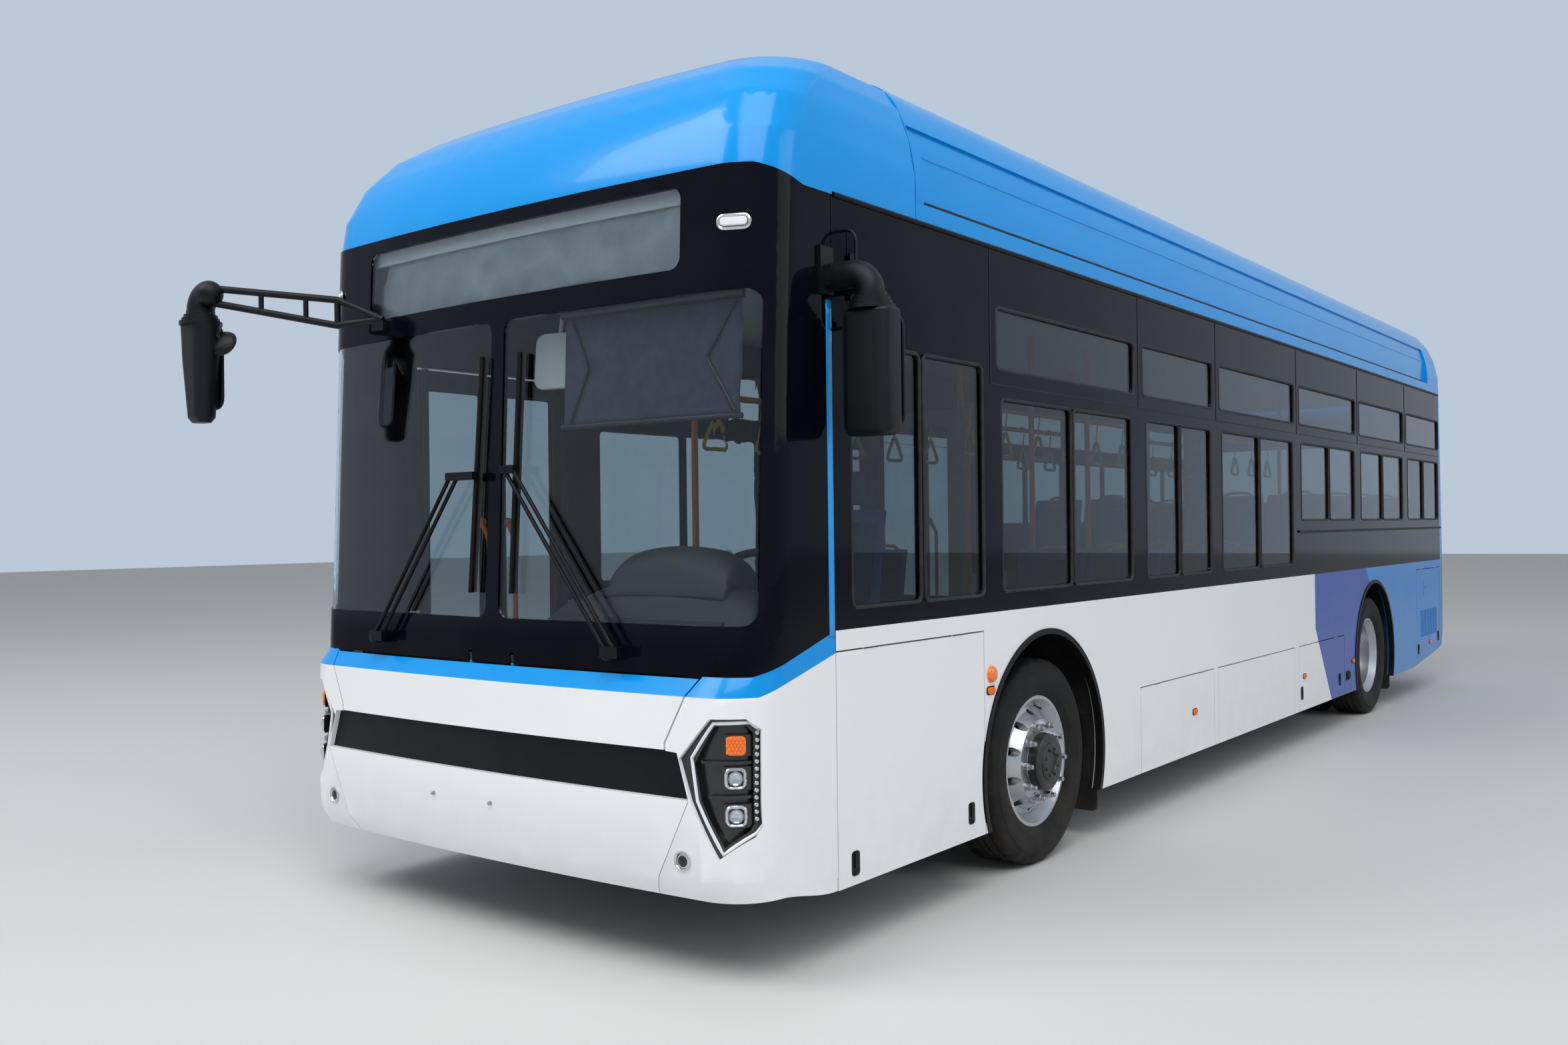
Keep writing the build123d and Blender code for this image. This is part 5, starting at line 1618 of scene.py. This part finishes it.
@dataclass
class Doors:
    """Rubber edges, pane gaskets and handrails of the door leaves."""

    leaf_depth: float = 0.04
    edge: float = 0.004
    gasket: float = 0.008
    rail_inset: float = 0.075
    rail_span: Flat = (0.85, 1.60)
    rail_bow: float = 0.055
    rail: float = 0.013
    rail_steps: int = 16

    def build(self, shop: Shop) -> None:
        """Dress each leaf.

        Args:
            shop: the workshop.
        """
        for name in DOOR_LEAVES:
            low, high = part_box(name)
            fore = name.endswith("fore")
            free = high.y if fore else low.y
            self.rubber(shop, name, free)
            self.handrail(shop, name, free - self.rail_inset if fore else free + self.rail_inset)

    def rubber(self, shop: Shop, name: str, free: float) -> None:
        """Fit the rubber on the free edge and round the pane.

        Args:
            shop: the workshop.
            name: the leaf's node.
            free: place of its free edge along the bus.
        """
        low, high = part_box(name)
        outside = -shop.marks.side + 0.002
        trim = Shape(f"{name}_rubber")
        ends = (low.z + 0.03, high.z - 0.02)
        trim.tube([Vector((outside + 0.02, free, z)) for z in ends], self.edge, sides=8)
        pane_low, pane_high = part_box(f"{name}_glass")
        middle = (pane_low + pane_high) / 2
        outline = rounded(pane_high.y - pane_low.y, pane_high.z - pane_low.z, 0.02)
        loop = [Vector((outside + 0.004, middle.y + a, middle.z + b)) for a, b in outline]
        trim.tube(loop, self.gasket, closed=True)
        trim.done(shop, RUBBER, shop.carriers[name])

    def handrail(self, shop: Shop, name: str, y: float) -> None:
        """Bend the handrail and screw it to the inside of the leaf.

        Args:
            shop: the workshop.
            name: the leaf's node.
            y: the rail's place along the bus.
        """
        inside = -shop.marks.side + 0.002 + self.leaf_depth
        low, high = self.rail_span
        rail = Shape(f"{name}_rail")
        line = []
        for k in range(self.rail_steps + 1):
            share = k / self.rail_steps
            bow = self.rail_bow * min(1.0, math.sin(math.pi * share) * 3.0)
            line.append(Vector((inside - 0.004 + bow, y, low + (high - low) * share)))
        rail.tube(line, self.rail, sides=10)
        for z in self.rail_span:
            rail.lathe([(-0.001, 0.026), (0.006, 0.024), (0.008, 0.014)], Vector((inside, y, z)), ASIDE, 18)
        rail.done(shop, POLE, shop.carriers[name])


@dataclass
class Saloon:
    """Seats and strap handles of the saloon."""

    seat_line: tuple[Flat, ...] = (
        (-0.226, 0.030), (-0.205, 0.074), (-0.12, 0.070), (0.05, 0.062), (0.13, 0.070), (0.165, 0.100),
        (0.185, 0.18), (0.205, 0.30), (0.232, 0.47), (0.258, 0.62), (0.272, 0.652))
    seat_start: float = 0.23
    seat_drop: float = 0.66
    seat_curl: float = 0.022
    back_foot: float = 0.15
    cab_seat_width: float = 0.45
    cab_seat_drop: float = 0.82
    pad_fill: float = 0.7
    rails: tuple[Triple, ...] = ((0.3, 3.25, 5.5), (-0.38, 1.85, 5.95), (0.27, 7.3, 8.85), (-0.27, 7.3, 8.85))
    rail_z: float = 2.23
    loop_radius: float = 0.019
    strap_step: float = 0.42
    ring_drop: float = 0.135
    ring: tuple[Flat, ...] = (
        (0, 0), (0.016, 0.005), (0.078, 0.110), (0.076, 0.126), (0.062, 0.134), (0, 0.136),
        (-0.062, 0.134), (-0.076, 0.126), (-0.078, 0.110), (-0.016, 0.005))

    def build(self, shop: Shop) -> None:
        """Build the saloon's fittings.

        Args:
            shop: the workshop.
        """
        self.seats(shop)
        self.straps(shop)

    def seats(self, shop: Shop) -> None:
        """Mould a shell with pads, legs and a grip for each packed seat.

        Args:
            shop: the workshop.
        """
        shells = Shape("seat_shells")
        pads = Shape("seat_pads")
        legs = Shape("seat_legs")
        grips = Shape("seat_grips")
        for low, high in islands(shop.nodes["seats"]):
            wide = high.x - low.x
            cab_seat = wide > self.cab_seat_width
            drop = self.cab_seat_drop if cab_seat else self.seat_drop
            start = Vector(((low.x + high.x) / 2, low.y + self.seat_start, high.z - drop))
            shells.rows(self.shell(start, wide))
            self.cushions(pads, start, wide, cab_seat)
            self.stand(legs, start, wide, low.z)
            if not cab_seat:
                grips.tube([start + Vector((s * wide * 0.34, 0.285 + 0.012 * (1 - s * s),
                                            0.60 + 0.075 * (1 - s ** 4)))
                            for s in (-1, -0.85, -0.5, 0, 0.5, 0.85, 1)], 0.012)
        shell = shells.done(shop, SEAT_SHELL, "body", thick=0.014, rounds=1)
        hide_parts("seats")
        pad = pads.done(shop, SEAT_CLOTH, "body")
        legs.done(shop, STEEL, "body", bevel=0.002)
        grips.done(shop, POLE, "body")

    def shell(self, start: Vector, wide: float) -> list[list[Vector]]:
        """Lay out the points of one seat shell.

        Args:
            start: the seat's own origin.
            wide: its width.

        Returns:
            Rows of points from the front lip to the top of the back.
        """
        rows = []
        for dy, dz in self.seat_line:
            upright = dz > self.back_foot
            row = []
            for k in range(13):
                s = 2 * k / 12 - 1
                curl = self.seat_curl * s ** 6
                ahead = dy - curl if upright else dy
                rise = dz if upright else dz + curl
                row.append(start + Vector((s * wide / 2, ahead, rise)))
            rows.append(row)
        return rows

    def cushions(self, pads: Shape, start: Vector, wide: float, cab_seat: bool) -> None:
        """Stuff the pads of one seat.

        Args:
            pads: the mesh that takes the pads.
            start: the seat's own origin.
            wide: its width.
            cab_seat: whether it is the driver's seat, with a head pad.
        """
        pads.pillow(start + Vector((0, -0.03, 0.072)), ASIDE, Vector((0, 1, -0.03)).normalized(),
                    wide * 0.86, 0.34, 0.036, (-0.35, 0.35))
        pads.pillow(start + Vector((0, 0.206, 0.375)), ASIDE, Vector((0, 0.15, 1.0)).normalized(),
                    wide * 0.82, 0.46, 0.034, (-0.3, 0.3))
        if cab_seat:
            pads.pillow(start + Vector((0, 0.262, 0.745)), ASIDE, Vector((0, 0.1, 1.0)).normalized(),
                        0.26, 0.15, 0.06)

    def stand(self, legs: Shape, start: Vector, wide: float, foot: float) -> None:
        """Put one seat on two legs with a foot plate and a carrier plate.

        Args:
            legs: the mesh that takes the stand.
            start: the seat's own origin.
            wide: its width.
            foot: height of the floor under it.
        """
        for dx in (-0.045, 0.045):
            x = start.x + dx
            legs.tube([Vector((x, start.y, foot)), Vector((x, start.y, start.z + 0.06))], 0.018)
        legs.plate(rounded(0.13, 0.18, 0.02), Vector((start.x, start.y, foot)), UP, 0.008, 0.0, BACK)
        legs.plate(rounded(wide * 0.8, 0.30, 0.02), start + Vector((0, -0.03, 0.03)), UP, 0.028, 0.0, BACK)

    def straps(self, shop: Shop) -> None:
        """Hang strap handles from the rails.

        Args:
            shop: the workshop.
        """
        belts = Shape("strap_belts")
        rings = Shape("strap_rings")
        for x, start, end in self.rails:
            count = int((end - start) / self.strap_step)
            for k in range(count + 1):
                top = Vector((x, shop.marks.front + start + k * self.strap_step, self.rail_z))
                belt = [top + Vector((self.loop_radius * math.cos(a), 0, self.loop_radius * math.sin(a)))
                        for a in (-2.2, -3.14, 2.2, 1.57, 0.94, 0.0, -0.94)]
                belt.append(top + Vector((0.004, 0, -0.07)))
                belt.append(top + Vector((0.0, 0, -0.13)))
                belts.tube(belt, 0.016, sides=6, flat=0.2)
                ring = [top + Vector((0, a, -self.ring_drop - b)) for a, b in self.ring]
                rings.tube(ring, 0.011, closed=True)
        belts.done(shop, STRAP, "body")
        rings.done(shop, STRAP_RING, "body")


@dataclass(frozen=True)
class Hood:
    """One crowned moulding on the dash."""

    left: float
    right: float
    ahead: float
    back: float
    foot: float
    rise: float

    def rows(self, front: float) -> list[list[Vector]]:
        """Lay out the moulding's points.

        Args:
            front: the foremost point of the body.

        Returns:
            Rows of points across the bus.
        """
        rows = []
        for j in range(9):
            share = j / 8
            y = front + self.ahead + (self.back - self.ahead) * share
            crown = max(0.0, math.sin(math.pi * share)) ** 0.5
            row = []
            for k in range(21):
                turn = math.pi * k / 20
                x = (self.left + self.right) / 2 - (self.right - self.left) / 2 * math.cos(turn)
                row.append(Vector((x, y, self.foot + self.rise * crown * math.sin(turn) ** 0.35)))
            rows.append(row)
        return rows


@dataclass
class Cab:
    """Blind, inner mirror, sign foil, dash hoods and fare box at the front."""

    blind_x: Flat = (0.29, 1.15)
    blind_z: Flat = (1.95, 2.37)
    blind_flat: Flat = (0.83, 0.42)
    blind_behind: float = 0.085
    bar_x: Flat = (0.28, 1.16)
    bars: tuple[Flat, ...] = ((1.95, 0.010), (2.378, 0.022))
    struts: tuple[Flat, ...] = ((0.33, 0.42), (1.12, 0.98))
    strut_z: Triple = (2.35, 2.16, 1.965)
    strut_behind: float = 0.075
    mirror: Flat = (0.17, 2.22)
    mirror_size: Triple = (0.19, 0.22, 0.04)
    mirror_behind: float = 0.16
    mirror_aim: Triple = (0.2, -1, 0.1)
    foil_x: Flat = (-0.86, 0.91)
    foil_z: Flat = (2.465, 2.745)
    foil_flat: Flat = (1.79, 0.285)
    foil_behind: float = 0.052
    foil_crumple: float = 0.012
    hoods: tuple[Hood, ...] = (Hood(0.24, 1.16, 0.20, 0.53, 1.16, 0.20),
                               Hood(0.42, 1.0, 0.26, 0.51, 1.30, 0.19))
    box_x: float = -0.10
    box_back: float = 0.72
    box_size: Triple = (0.20, 0.26, 0.03)
    box_foot: float = 0.36
    box_height: float = 0.72

    def build(self, shop: Shop) -> None:
        """Build the cab's fittings.

        Args:
            shop: the workshop.
        """
        self.blind(shop)
        self.inner_mirror(shop)
        self.foil(shop)
        self.dash(shop)

    def blind(self, shop: Shop) -> None:
        """Stretch the sun blind between its roller and its bottom bar.

        Args:
            shop: the workshop.
        """
        (left, right), (low, high) = self.blind_x, self.blind_z
        blind = Shape("screen_blind")
        blind.drape(shop.screen.front, [(left, low), (right, low), (right, high), (left, high)], 24, 14,
                    -self.blind_behind)
        cloth = blind.done(shop, BLIND, "body", thick=0.002)
        bars = Shape("blind_bars")
        start, stop = self.bar_x
        for z, radius in self.bars:
            places = [(start + (stop - start) * k / 12, z) for k in range(13)]
            bars.tube(self.behind(shop, places, self.blind_behind), radius, sides=10)
        for outer, inner in self.struts:
            places = list(zip((outer, inner, outer), self.strut_z))
            bars.tube(self.behind(shop, places, self.strut_behind), 0.006)
        bars.done(shop, GRIP, "body")

    @staticmethod
    def behind(shop: Shop, places: Sequence[Flat], depth: float) -> list[Vector]:
        """Find points behind the windscreen.

        Args:
            shop: the workshop.
            places: places across the bus and heights.
            depth: distance behind the outer skin.

        Returns:
            The points.
        """
        line = []
        for x, z in places:
            spot, normal = shop.screen.front(x, z)
            line.append(spot - normal * depth)
        return line

    def inner_mirror(self, shop: Shop) -> None:
        """Hang the inner mirror on its arm.

        Args:
            shop: the workshop.
        """
        hang = self.behind(shop, [self.mirror], self.mirror_behind)[0]
        mirror = Shape("inner_mirror")
        mirror.plate(rounded(*self.mirror_size), hang, Vector(self.mirror_aim), 0.022)
        mirror.tube([hang + Vector((0, 0.01, 0.09)), hang + Vector((0, 0.02, 0.15)),
                     hang + Vector((0, 0.03, 0.24))], 0.009)
        mirror.done(shop, PALE_PLASTIC, "body", bevel=0.008)

    def foil(self, shop: Shop) -> None:
        """Hang the crumpled foil behind the blank sign pane.

        Args:
            shop: the workshop.
        """
        (left, right), (low, high) = self.foil_x, self.foil_z
        foil = Shape("sign_foil")
        foil.drape(shop.screen.front, [(left, low), (right, low), (right, high), (left, high)], 60, 14,
                   -self.foil_behind, self.foil_crumple)
        sheet = foil.done(shop, FOIL, "body", thick=0.0015)

    def dash(self, shop: Shop) -> None:
        """Mould the dash hoods and stand the fare box beside them.

        Args:
            shop: the workshop.
        """
        front = shop.marks.front
        hood = Shape("dash_hood")
        for moulding in self.hoods:
            hood.rows(moulding.rows(front))
        hood.done(shop, DASH, "body", thick=0.012, rounds=1)
        box = Shape("fare_box")
        top = self.box_foot + self.box_height
        box.plate(rounded(*self.box_size), Vector((self.box_x, front + self.box_back, self.box_foot)), UP,
                  self.box_height, 0.0, BACK)
        box.plate(rounded(0.15, 0.12, 0.02), Vector((self.box_x, front + self.box_back - 0.04, top)),
                  Vector((0, -0.4, 1)), 0.10, -0.02, BACK)
        box.done(shop, PALE_PLASTIC, "body", bevel=0.006)


@dataclass
class TailDress:
    """Rear lamps' rings and lenses, blank plate, lid handles, slots and pane gasket."""

    lamp_places: Triple = (0.18, 0.5, 0.82)
    lamp_radius: float = 0.055
    plate_z: float = 0.86
    plate_size: Triple = (0.44, 0.15, 0.012)
    pulls: tuple[Flat, ...] = ((-0.55, 0.70), (0.55, 0.70))
    slots: int = 7
    slot_foot: float = 1.02
    slot_pitch: float = 0.026
    slot_size: Triple = (1.1, 0.012, 0.005)
    pane: tuple[Flat, ...] = ((-0.95, 1.57), (0.95, 1.57), (0.92, 2.32), (-0.92, 2.32))
    gasket: float = 0.012

    def build(self, shop: Shop) -> None:
        """Build the tail's trim.

        Args:
            shop: the workshop.
        """
        self.lamps(shop)
        self.lid(shop)
        self.pane_gasket(shop)

    def lamps(self, shop: Shop) -> None:
        """Set a ring and a lens at each light of the rear lamps.

        Args:
            shop: the workshop.
        """
        rings = Shape("tail_lamp_rings")
        lenses = Shape("tail_lamp_lenses")
        for low, high in islands(shop.nodes["tail_lamps"]):
            r = min(self.lamp_radius, (high.x - low.x) * 0.4)
            for share in self.lamp_places:
                spot, normal = shop.tail.rear((low.x + high.x) / 2, low.z + (high.z - low.z) * share)
                rings.lathe([(0.0, r), (0.007, r), (0.009, r - 0.006), (0.002, r - 0.010)], spot, normal, 32)
                lenses.lathe([(0.0, r - 0.009), (0.006, r - 0.014), (0.012, r * 0.4), (0.013, 0.0)],
                             spot, normal, 32)
        rings.done(shop, CHROME, "body")
        lenses.done(shop, RED_LENS, "body")

    def lid(self, shop: Shop) -> None:
        """Fit the blank plate, the two pulls and the air slots on the lid.

        Args:
            shop: the workshop.
        """
        body = shop.carriers["rear_lid"]
        plate = Shape("rear_plate")
        spot, normal = shop.tail.rear(0.0, self.plate_z)
        plate.plate(rounded(*self.plate_size), spot, normal, 0.004, 0.001)
        plate.done(shop, PLATE, body, bevel=0.001)
        pull = Shape("rear_lid_pull")
        for place in self.pulls:
            spot, normal = shop.tail.rear(*place)
            pull.plate(rounded(0.11, 0.04, 0.012), spot, normal, 0.005, -0.001)
            pull.lathe([(0.003, 0.012), (0.009, 0.011), (0.010, 0.0)], spot, normal, 18)
        for k in range(self.slots):
            spot, normal = shop.tail.rear(0.0, self.slot_foot + k * self.slot_pitch)
            pull.plate(rounded(*self.slot_size), spot, normal, 0.005, -0.001)
        pull.done(shop, BLACK_TRIM, body, bevel=0.001)

    def pane_gasket(self, shop: Shop) -> None:
        """Seat the gasket round the rear pane.

        Args:
            shop: the workshop.
        """
        skin = Skin(shop.nodes, ("rear_wall", "saloon_glass"))
        gasket = Shape("rear_pane_gasket")
        loop = []
        for x, z in spaced(self.pane, 0.12, True):
            loop.append(Vector((x * 1.01, skin.rear(x * 1.015, z)[0].y, z)))
        gasket.tube(loop, self.gasket, closed=True)
        gasket.done(shop, RUBBER, "body")


@dataclass
class FairingTrim:
    """Pressed crease along the roof fairings, and a dark strip that paints the shadow line under the sunk
    panel's lower edge.
    """

    crease_z: float = 3.035
    crease: float = 0.005
    # Place and height of the dark strip that paints the shadow line under the sunk panel.
    shadow_strip_z: float = 2.846
    shadow_strip_height: float = 0.013
    ends: float = 0.11
    steps: int = 40

    def build(self, shop: Shop) -> None:
        """Run the crease and the painted shadow strip along each side.

        Args:
            shop: the workshop.
        """
        skin = Skin(shop.nodes, ("roof_fairings",))
        low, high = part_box("roof_fairings")
        start = low.y + self.ends
        end = high.y - self.ends
        foot = self.shadow_strip_z
        head = self.shadow_strip_z + self.shadow_strip_height
        crease = Shape("fairing_creases")
        shadow_strip = Shape("fairing_painted_shadows")
        for probe in (skin.left, skin.right):
            places = [start + (end - start) * k / self.steps for k in range(self.steps + 1)]
            crease.tube([probe(y, self.crease_z)[0] for y in places], self.crease, sides=8)
            # Painted shadow: a dark strip in the gasket rubber finish, laid on the skin where the sunk
            # panel's lower edge casts its shadow line.
            shadow_strip.drape(probe, [(start, foot), (end, foot), (end, head), (start, head)], self.steps, 2, 0.0012)
        crease.done(shop, PAINT, "body")
        shadow_strip.done(shop, RUBBER, "body", thick=0.001)


@dataclass
class RoofGear:
    """Fans with guards, and ribs and bolts of the roof units."""

    fans: int = 3
    first_fan: float = 5.2
    fan_pitch: float = 0.7
    guard_rings: tuple[float, ...] = (0.06, 0.11, 0.16, 0.21, 0.238)
    guard_arms: Flat = (0.05, 0.245)
    guard_wire: float = 0.004
    fan_blades: int = 8
    blade_places: Triple = (0.06, 0.14, 0.225)
    blade_half: float = 0.035
    ribs: int = 5
    rib_width: float = 0.10
    rib_margin: float = 0.16
    bolt_inset: float = 0.035

    def build(self, shop: Shop) -> None:
        """Build the roof units' fittings.

        Args:
            shop: the workshop.
        """
        self.fan_row(shop)
        self.packs(shop)

    def fan_row(self, shop: Shop) -> None:
        """Set the fans and their guards in the climate unit.

        Args:
            shop: the workshop.
        """
        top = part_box("climate_unit")[1].z
        guards = Shape("fan_guards")
        blades = Shape("fan_blades")
        for row in range(self.fans):
            centre = Vector((0, shop.marks.front + self.first_fan + row * self.fan_pitch, top))
            for radius in self.guard_rings:
                turns = [2 * math.pi * k / 36 for k in range(36)]
                ring = [centre + Vector((radius * math.cos(t), radius * math.sin(t), 0.002)) for t in turns]
                guards.tube(ring, self.guard_wire, sides=6, closed=True)
            for k in range(self.fan_blades):
                turn = 2 * math.pi * k / self.fan_blades
                arm = Vector((math.cos(turn), math.sin(turn), 0))
                guards.tube([centre + arm * reach for reach in self.guard_arms], self.guard_wire, sides=6)
                side = Vector((-arm.y, arm.x, 0)) * self.blade_half
                rows = []
                for reach in self.blade_places:
                    spot = centre + arm * reach
                    rows.append([spot - side - UP * 0.026, spot - UP * 0.016, spot + side - UP * 0.010])
                blades.rows(rows)
            blades.lathe([(-0.028, 0.055), (-0.008, 0.055), (-0.005, 0.045), (-0.004, 0.0)], centre, UP, 28)
        guards.done(shop, BLACK_TRIM, "body")
        blades.done(shop, HUB_BLACK, "body", thick=0.004)

    def packs(self, shop: Shop) -> None:
        """Press ribs into the battery packs' covers and bolt them down.

        Args:
            shop: the workshop.
        """
        bolts = Shape("roof_pack_bolts")
        ribs = Shape("roof_pack_ribs")
        for low, high in islands(shop.nodes["battery_packs"]):
            middle = (low.x + high.x) / 2
            wide = high.x - low.x
            for k in range(self.ribs):
                y = low.y + (high.y - low.y) * (k + 0.5) / self.ribs
                ribs.plate(rounded(wide - self.rib_margin, self.rib_width, 0.03), Vector((middle, y, high.z)),
                           UP, 0.014, -0.002, BACK)
                for sign in (-1, 1):
                    spot = Vector((middle + sign * (wide / 2 - self.bolt_inset), y, high.z))
                    bolts.lathe([(-0.001, 0.016), (0.003, 0.016), (0.004, 0.011), (0.012, 0.011),
                                 (0.013, 0.007)], spot, UP, 6)
        ribs.done(shop, PACK_SHELL, "body", bevel=0.004)
        bolts.done(shop, NUT, "body")


@dataclass
class Studio:
    """Floor, light and the camera at the photograph's angle."""

    eye: Triple = (4.004, -8.522, 1.554)
    heading: float = 37.48
    tilt: float = 0.26
    roll: float = -0.68
    lens: float = 30.48
    floor_size: float = 120.0
    floor_colour: Colour = (0.66, 0.66, 0.65, 1)
    light_colour: Colour = (0.86, 0.9, 0.95, 1)
    light_level: float = 0.42
    shown_colour: Colour = (0.50, 0.58, 0.68, 1)

    def camera(self) -> None:
        """Make the camera."""
        data = bpy.data.cameras.new("camera")
        data.sensor_width = 36.0
        data.lens = self.lens
        data.clip_end = 400.0
        camera = bpy.data.objects.new("camera", data)
        bpy.context.scene.collection.objects.link(camera)
        turn, rise, lean = (math.radians(v) for v in (self.heading, self.tilt, self.roll))
        ahead = Vector((-math.sin(turn) * math.cos(rise), math.cos(turn) * math.cos(rise), math.sin(rise)))
        right = Vector((math.cos(turn), math.sin(turn), 0.0))
        up = right.cross(ahead)
        right_rolled = right * math.cos(lean) + up * math.sin(lean)
        up_rolled = up * math.cos(lean) - right * math.sin(lean)
        frame = Matrix((right_rolled, up_rolled, -ahead)).transposed().to_4x4()
        frame.translation = Vector(self.eye)
        camera.matrix_world = frame
        bpy.context.scene.camera = camera

    def floor(self) -> None:
        """Lay the pale floor."""
        mesh = bpy.data.meshes.new("floor")
        half = self.floor_size / 2
        corners = [(-half, -half, 0), (half, -half, 0), (half, half, 0), (-half, half, 0)]
        mesh.from_pydata(corners, [], [(0, 1, 2, 3)])
        floor = bpy.data.objects.new("floor", mesh)
        bpy.context.scene.collection.objects.link(floor)
        material = bpy.data.materials.new("floor")
        material.use_nodes = True
        shader = material.node_tree.nodes["Principled BSDF"]
        shader.inputs["Base Color"].default_value = self.floor_colour
        shader.inputs["Roughness"].default_value = 0.7
        mesh.materials.append(material)

    def lamp(self, name: str, spot: Triple, aim: Triple, size: float, power: float) -> None:
        """Hang one soft lamp.

        Args:
            name: the lamp's name.
            spot: where it hangs.
            aim: the point that it faces.
            size: edge of the square lamp.
            power: its power in watts.
        """
        data = bpy.data.lights.new(name, "AREA")
        data.size = size
        data.energy = power
        lamp = bpy.data.objects.new(name, data)
        bpy.context.scene.collection.objects.link(lamp)
        lamp.location = spot
        lamp.rotation_mode = "QUATERNION"
        lamp.rotation_quaternion = (Vector(aim) - Vector(spot)).to_track_quat("-Z", "Y")

    def light(self) -> None:
        """Set the world and the lamps."""
        world = bpy.data.worlds.new("studio")
        bpy.context.scene.world = world
        world.use_nodes = True
        n = Nodes(world.node_tree)
        lit = world.node_tree.nodes["Background"]
        lit.inputs["Color"].default_value = self.light_colour
        lit.inputs["Strength"].default_value = self.light_level
        shown = n.add("ShaderNodeBackground")
        shown.inputs["Color"].default_value = self.shown_colour
        path = n.add("ShaderNodeLightPath")
        seen = n.math("MAXIMUM", path.outputs["Is Camera Ray"], path.outputs["Is Glossy Ray"])
        seen = n.math("MAXIMUM", seen, path.outputs["Is Transmission Ray"])
        blend = n.add("ShaderNodeMixShader")
        n.feed(blend.inputs[0], seen)
        n.feed(blend.inputs[1], lit.outputs[0])
        n.feed(blend.inputs[2], shown.outputs[0])
        n.feed(world.node_tree.nodes["World Output"].inputs["Surface"], blend.outputs[0])
        self.lamp("key", (7, -11, 15), (0, -1, 1), 12.0, 1750)
        self.lamp("front fill", (-6, -14, 14), (0, -4, 1.2), 8.0, 1050)
        self.lamp("side fill", (16, 3, 8), (0, 1, 1.2), 10.0, 420)

    def build(self) -> None:
        """Set the whole stage."""
        self.camera()
        self.floor()
        self.light()
        bpy.context.scene.view_settings.view_transform = "Standard"


def main() -> None:
    """Build the dressed bus."""
    logging.basicConfig(level=logging.INFO, format="%(message)s")
    for obj in list(bpy.data.objects):
        bpy.data.objects.remove(obj)
    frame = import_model()
    marks = Landmarks().read()
    dresser = Dresser(Groups(marks))
    dresser.nodes(frame["nodes"])
    bodies = frame["record"]["behaviour"]["bodies"]
    carriers = {node: body for body, nodes in bodies.items() for node in nodes}
    shop = Shop(dresser, frame["nodes"], marks, carriers)
    for part in (HeadLamps(), FrontTrim(), WiperDress(), MirrorDress(), SideGlazing(), SideFittings(),
                 Wheels(), Arches(), Doors(), Saloon(), Cab(), TailDress(), FairingTrim(), RoofGear()):
        part.build(shop)
        LOG.info("built %s", type(part).__name__)
    Studio().build()


if __name__ == "__main__":
    main()
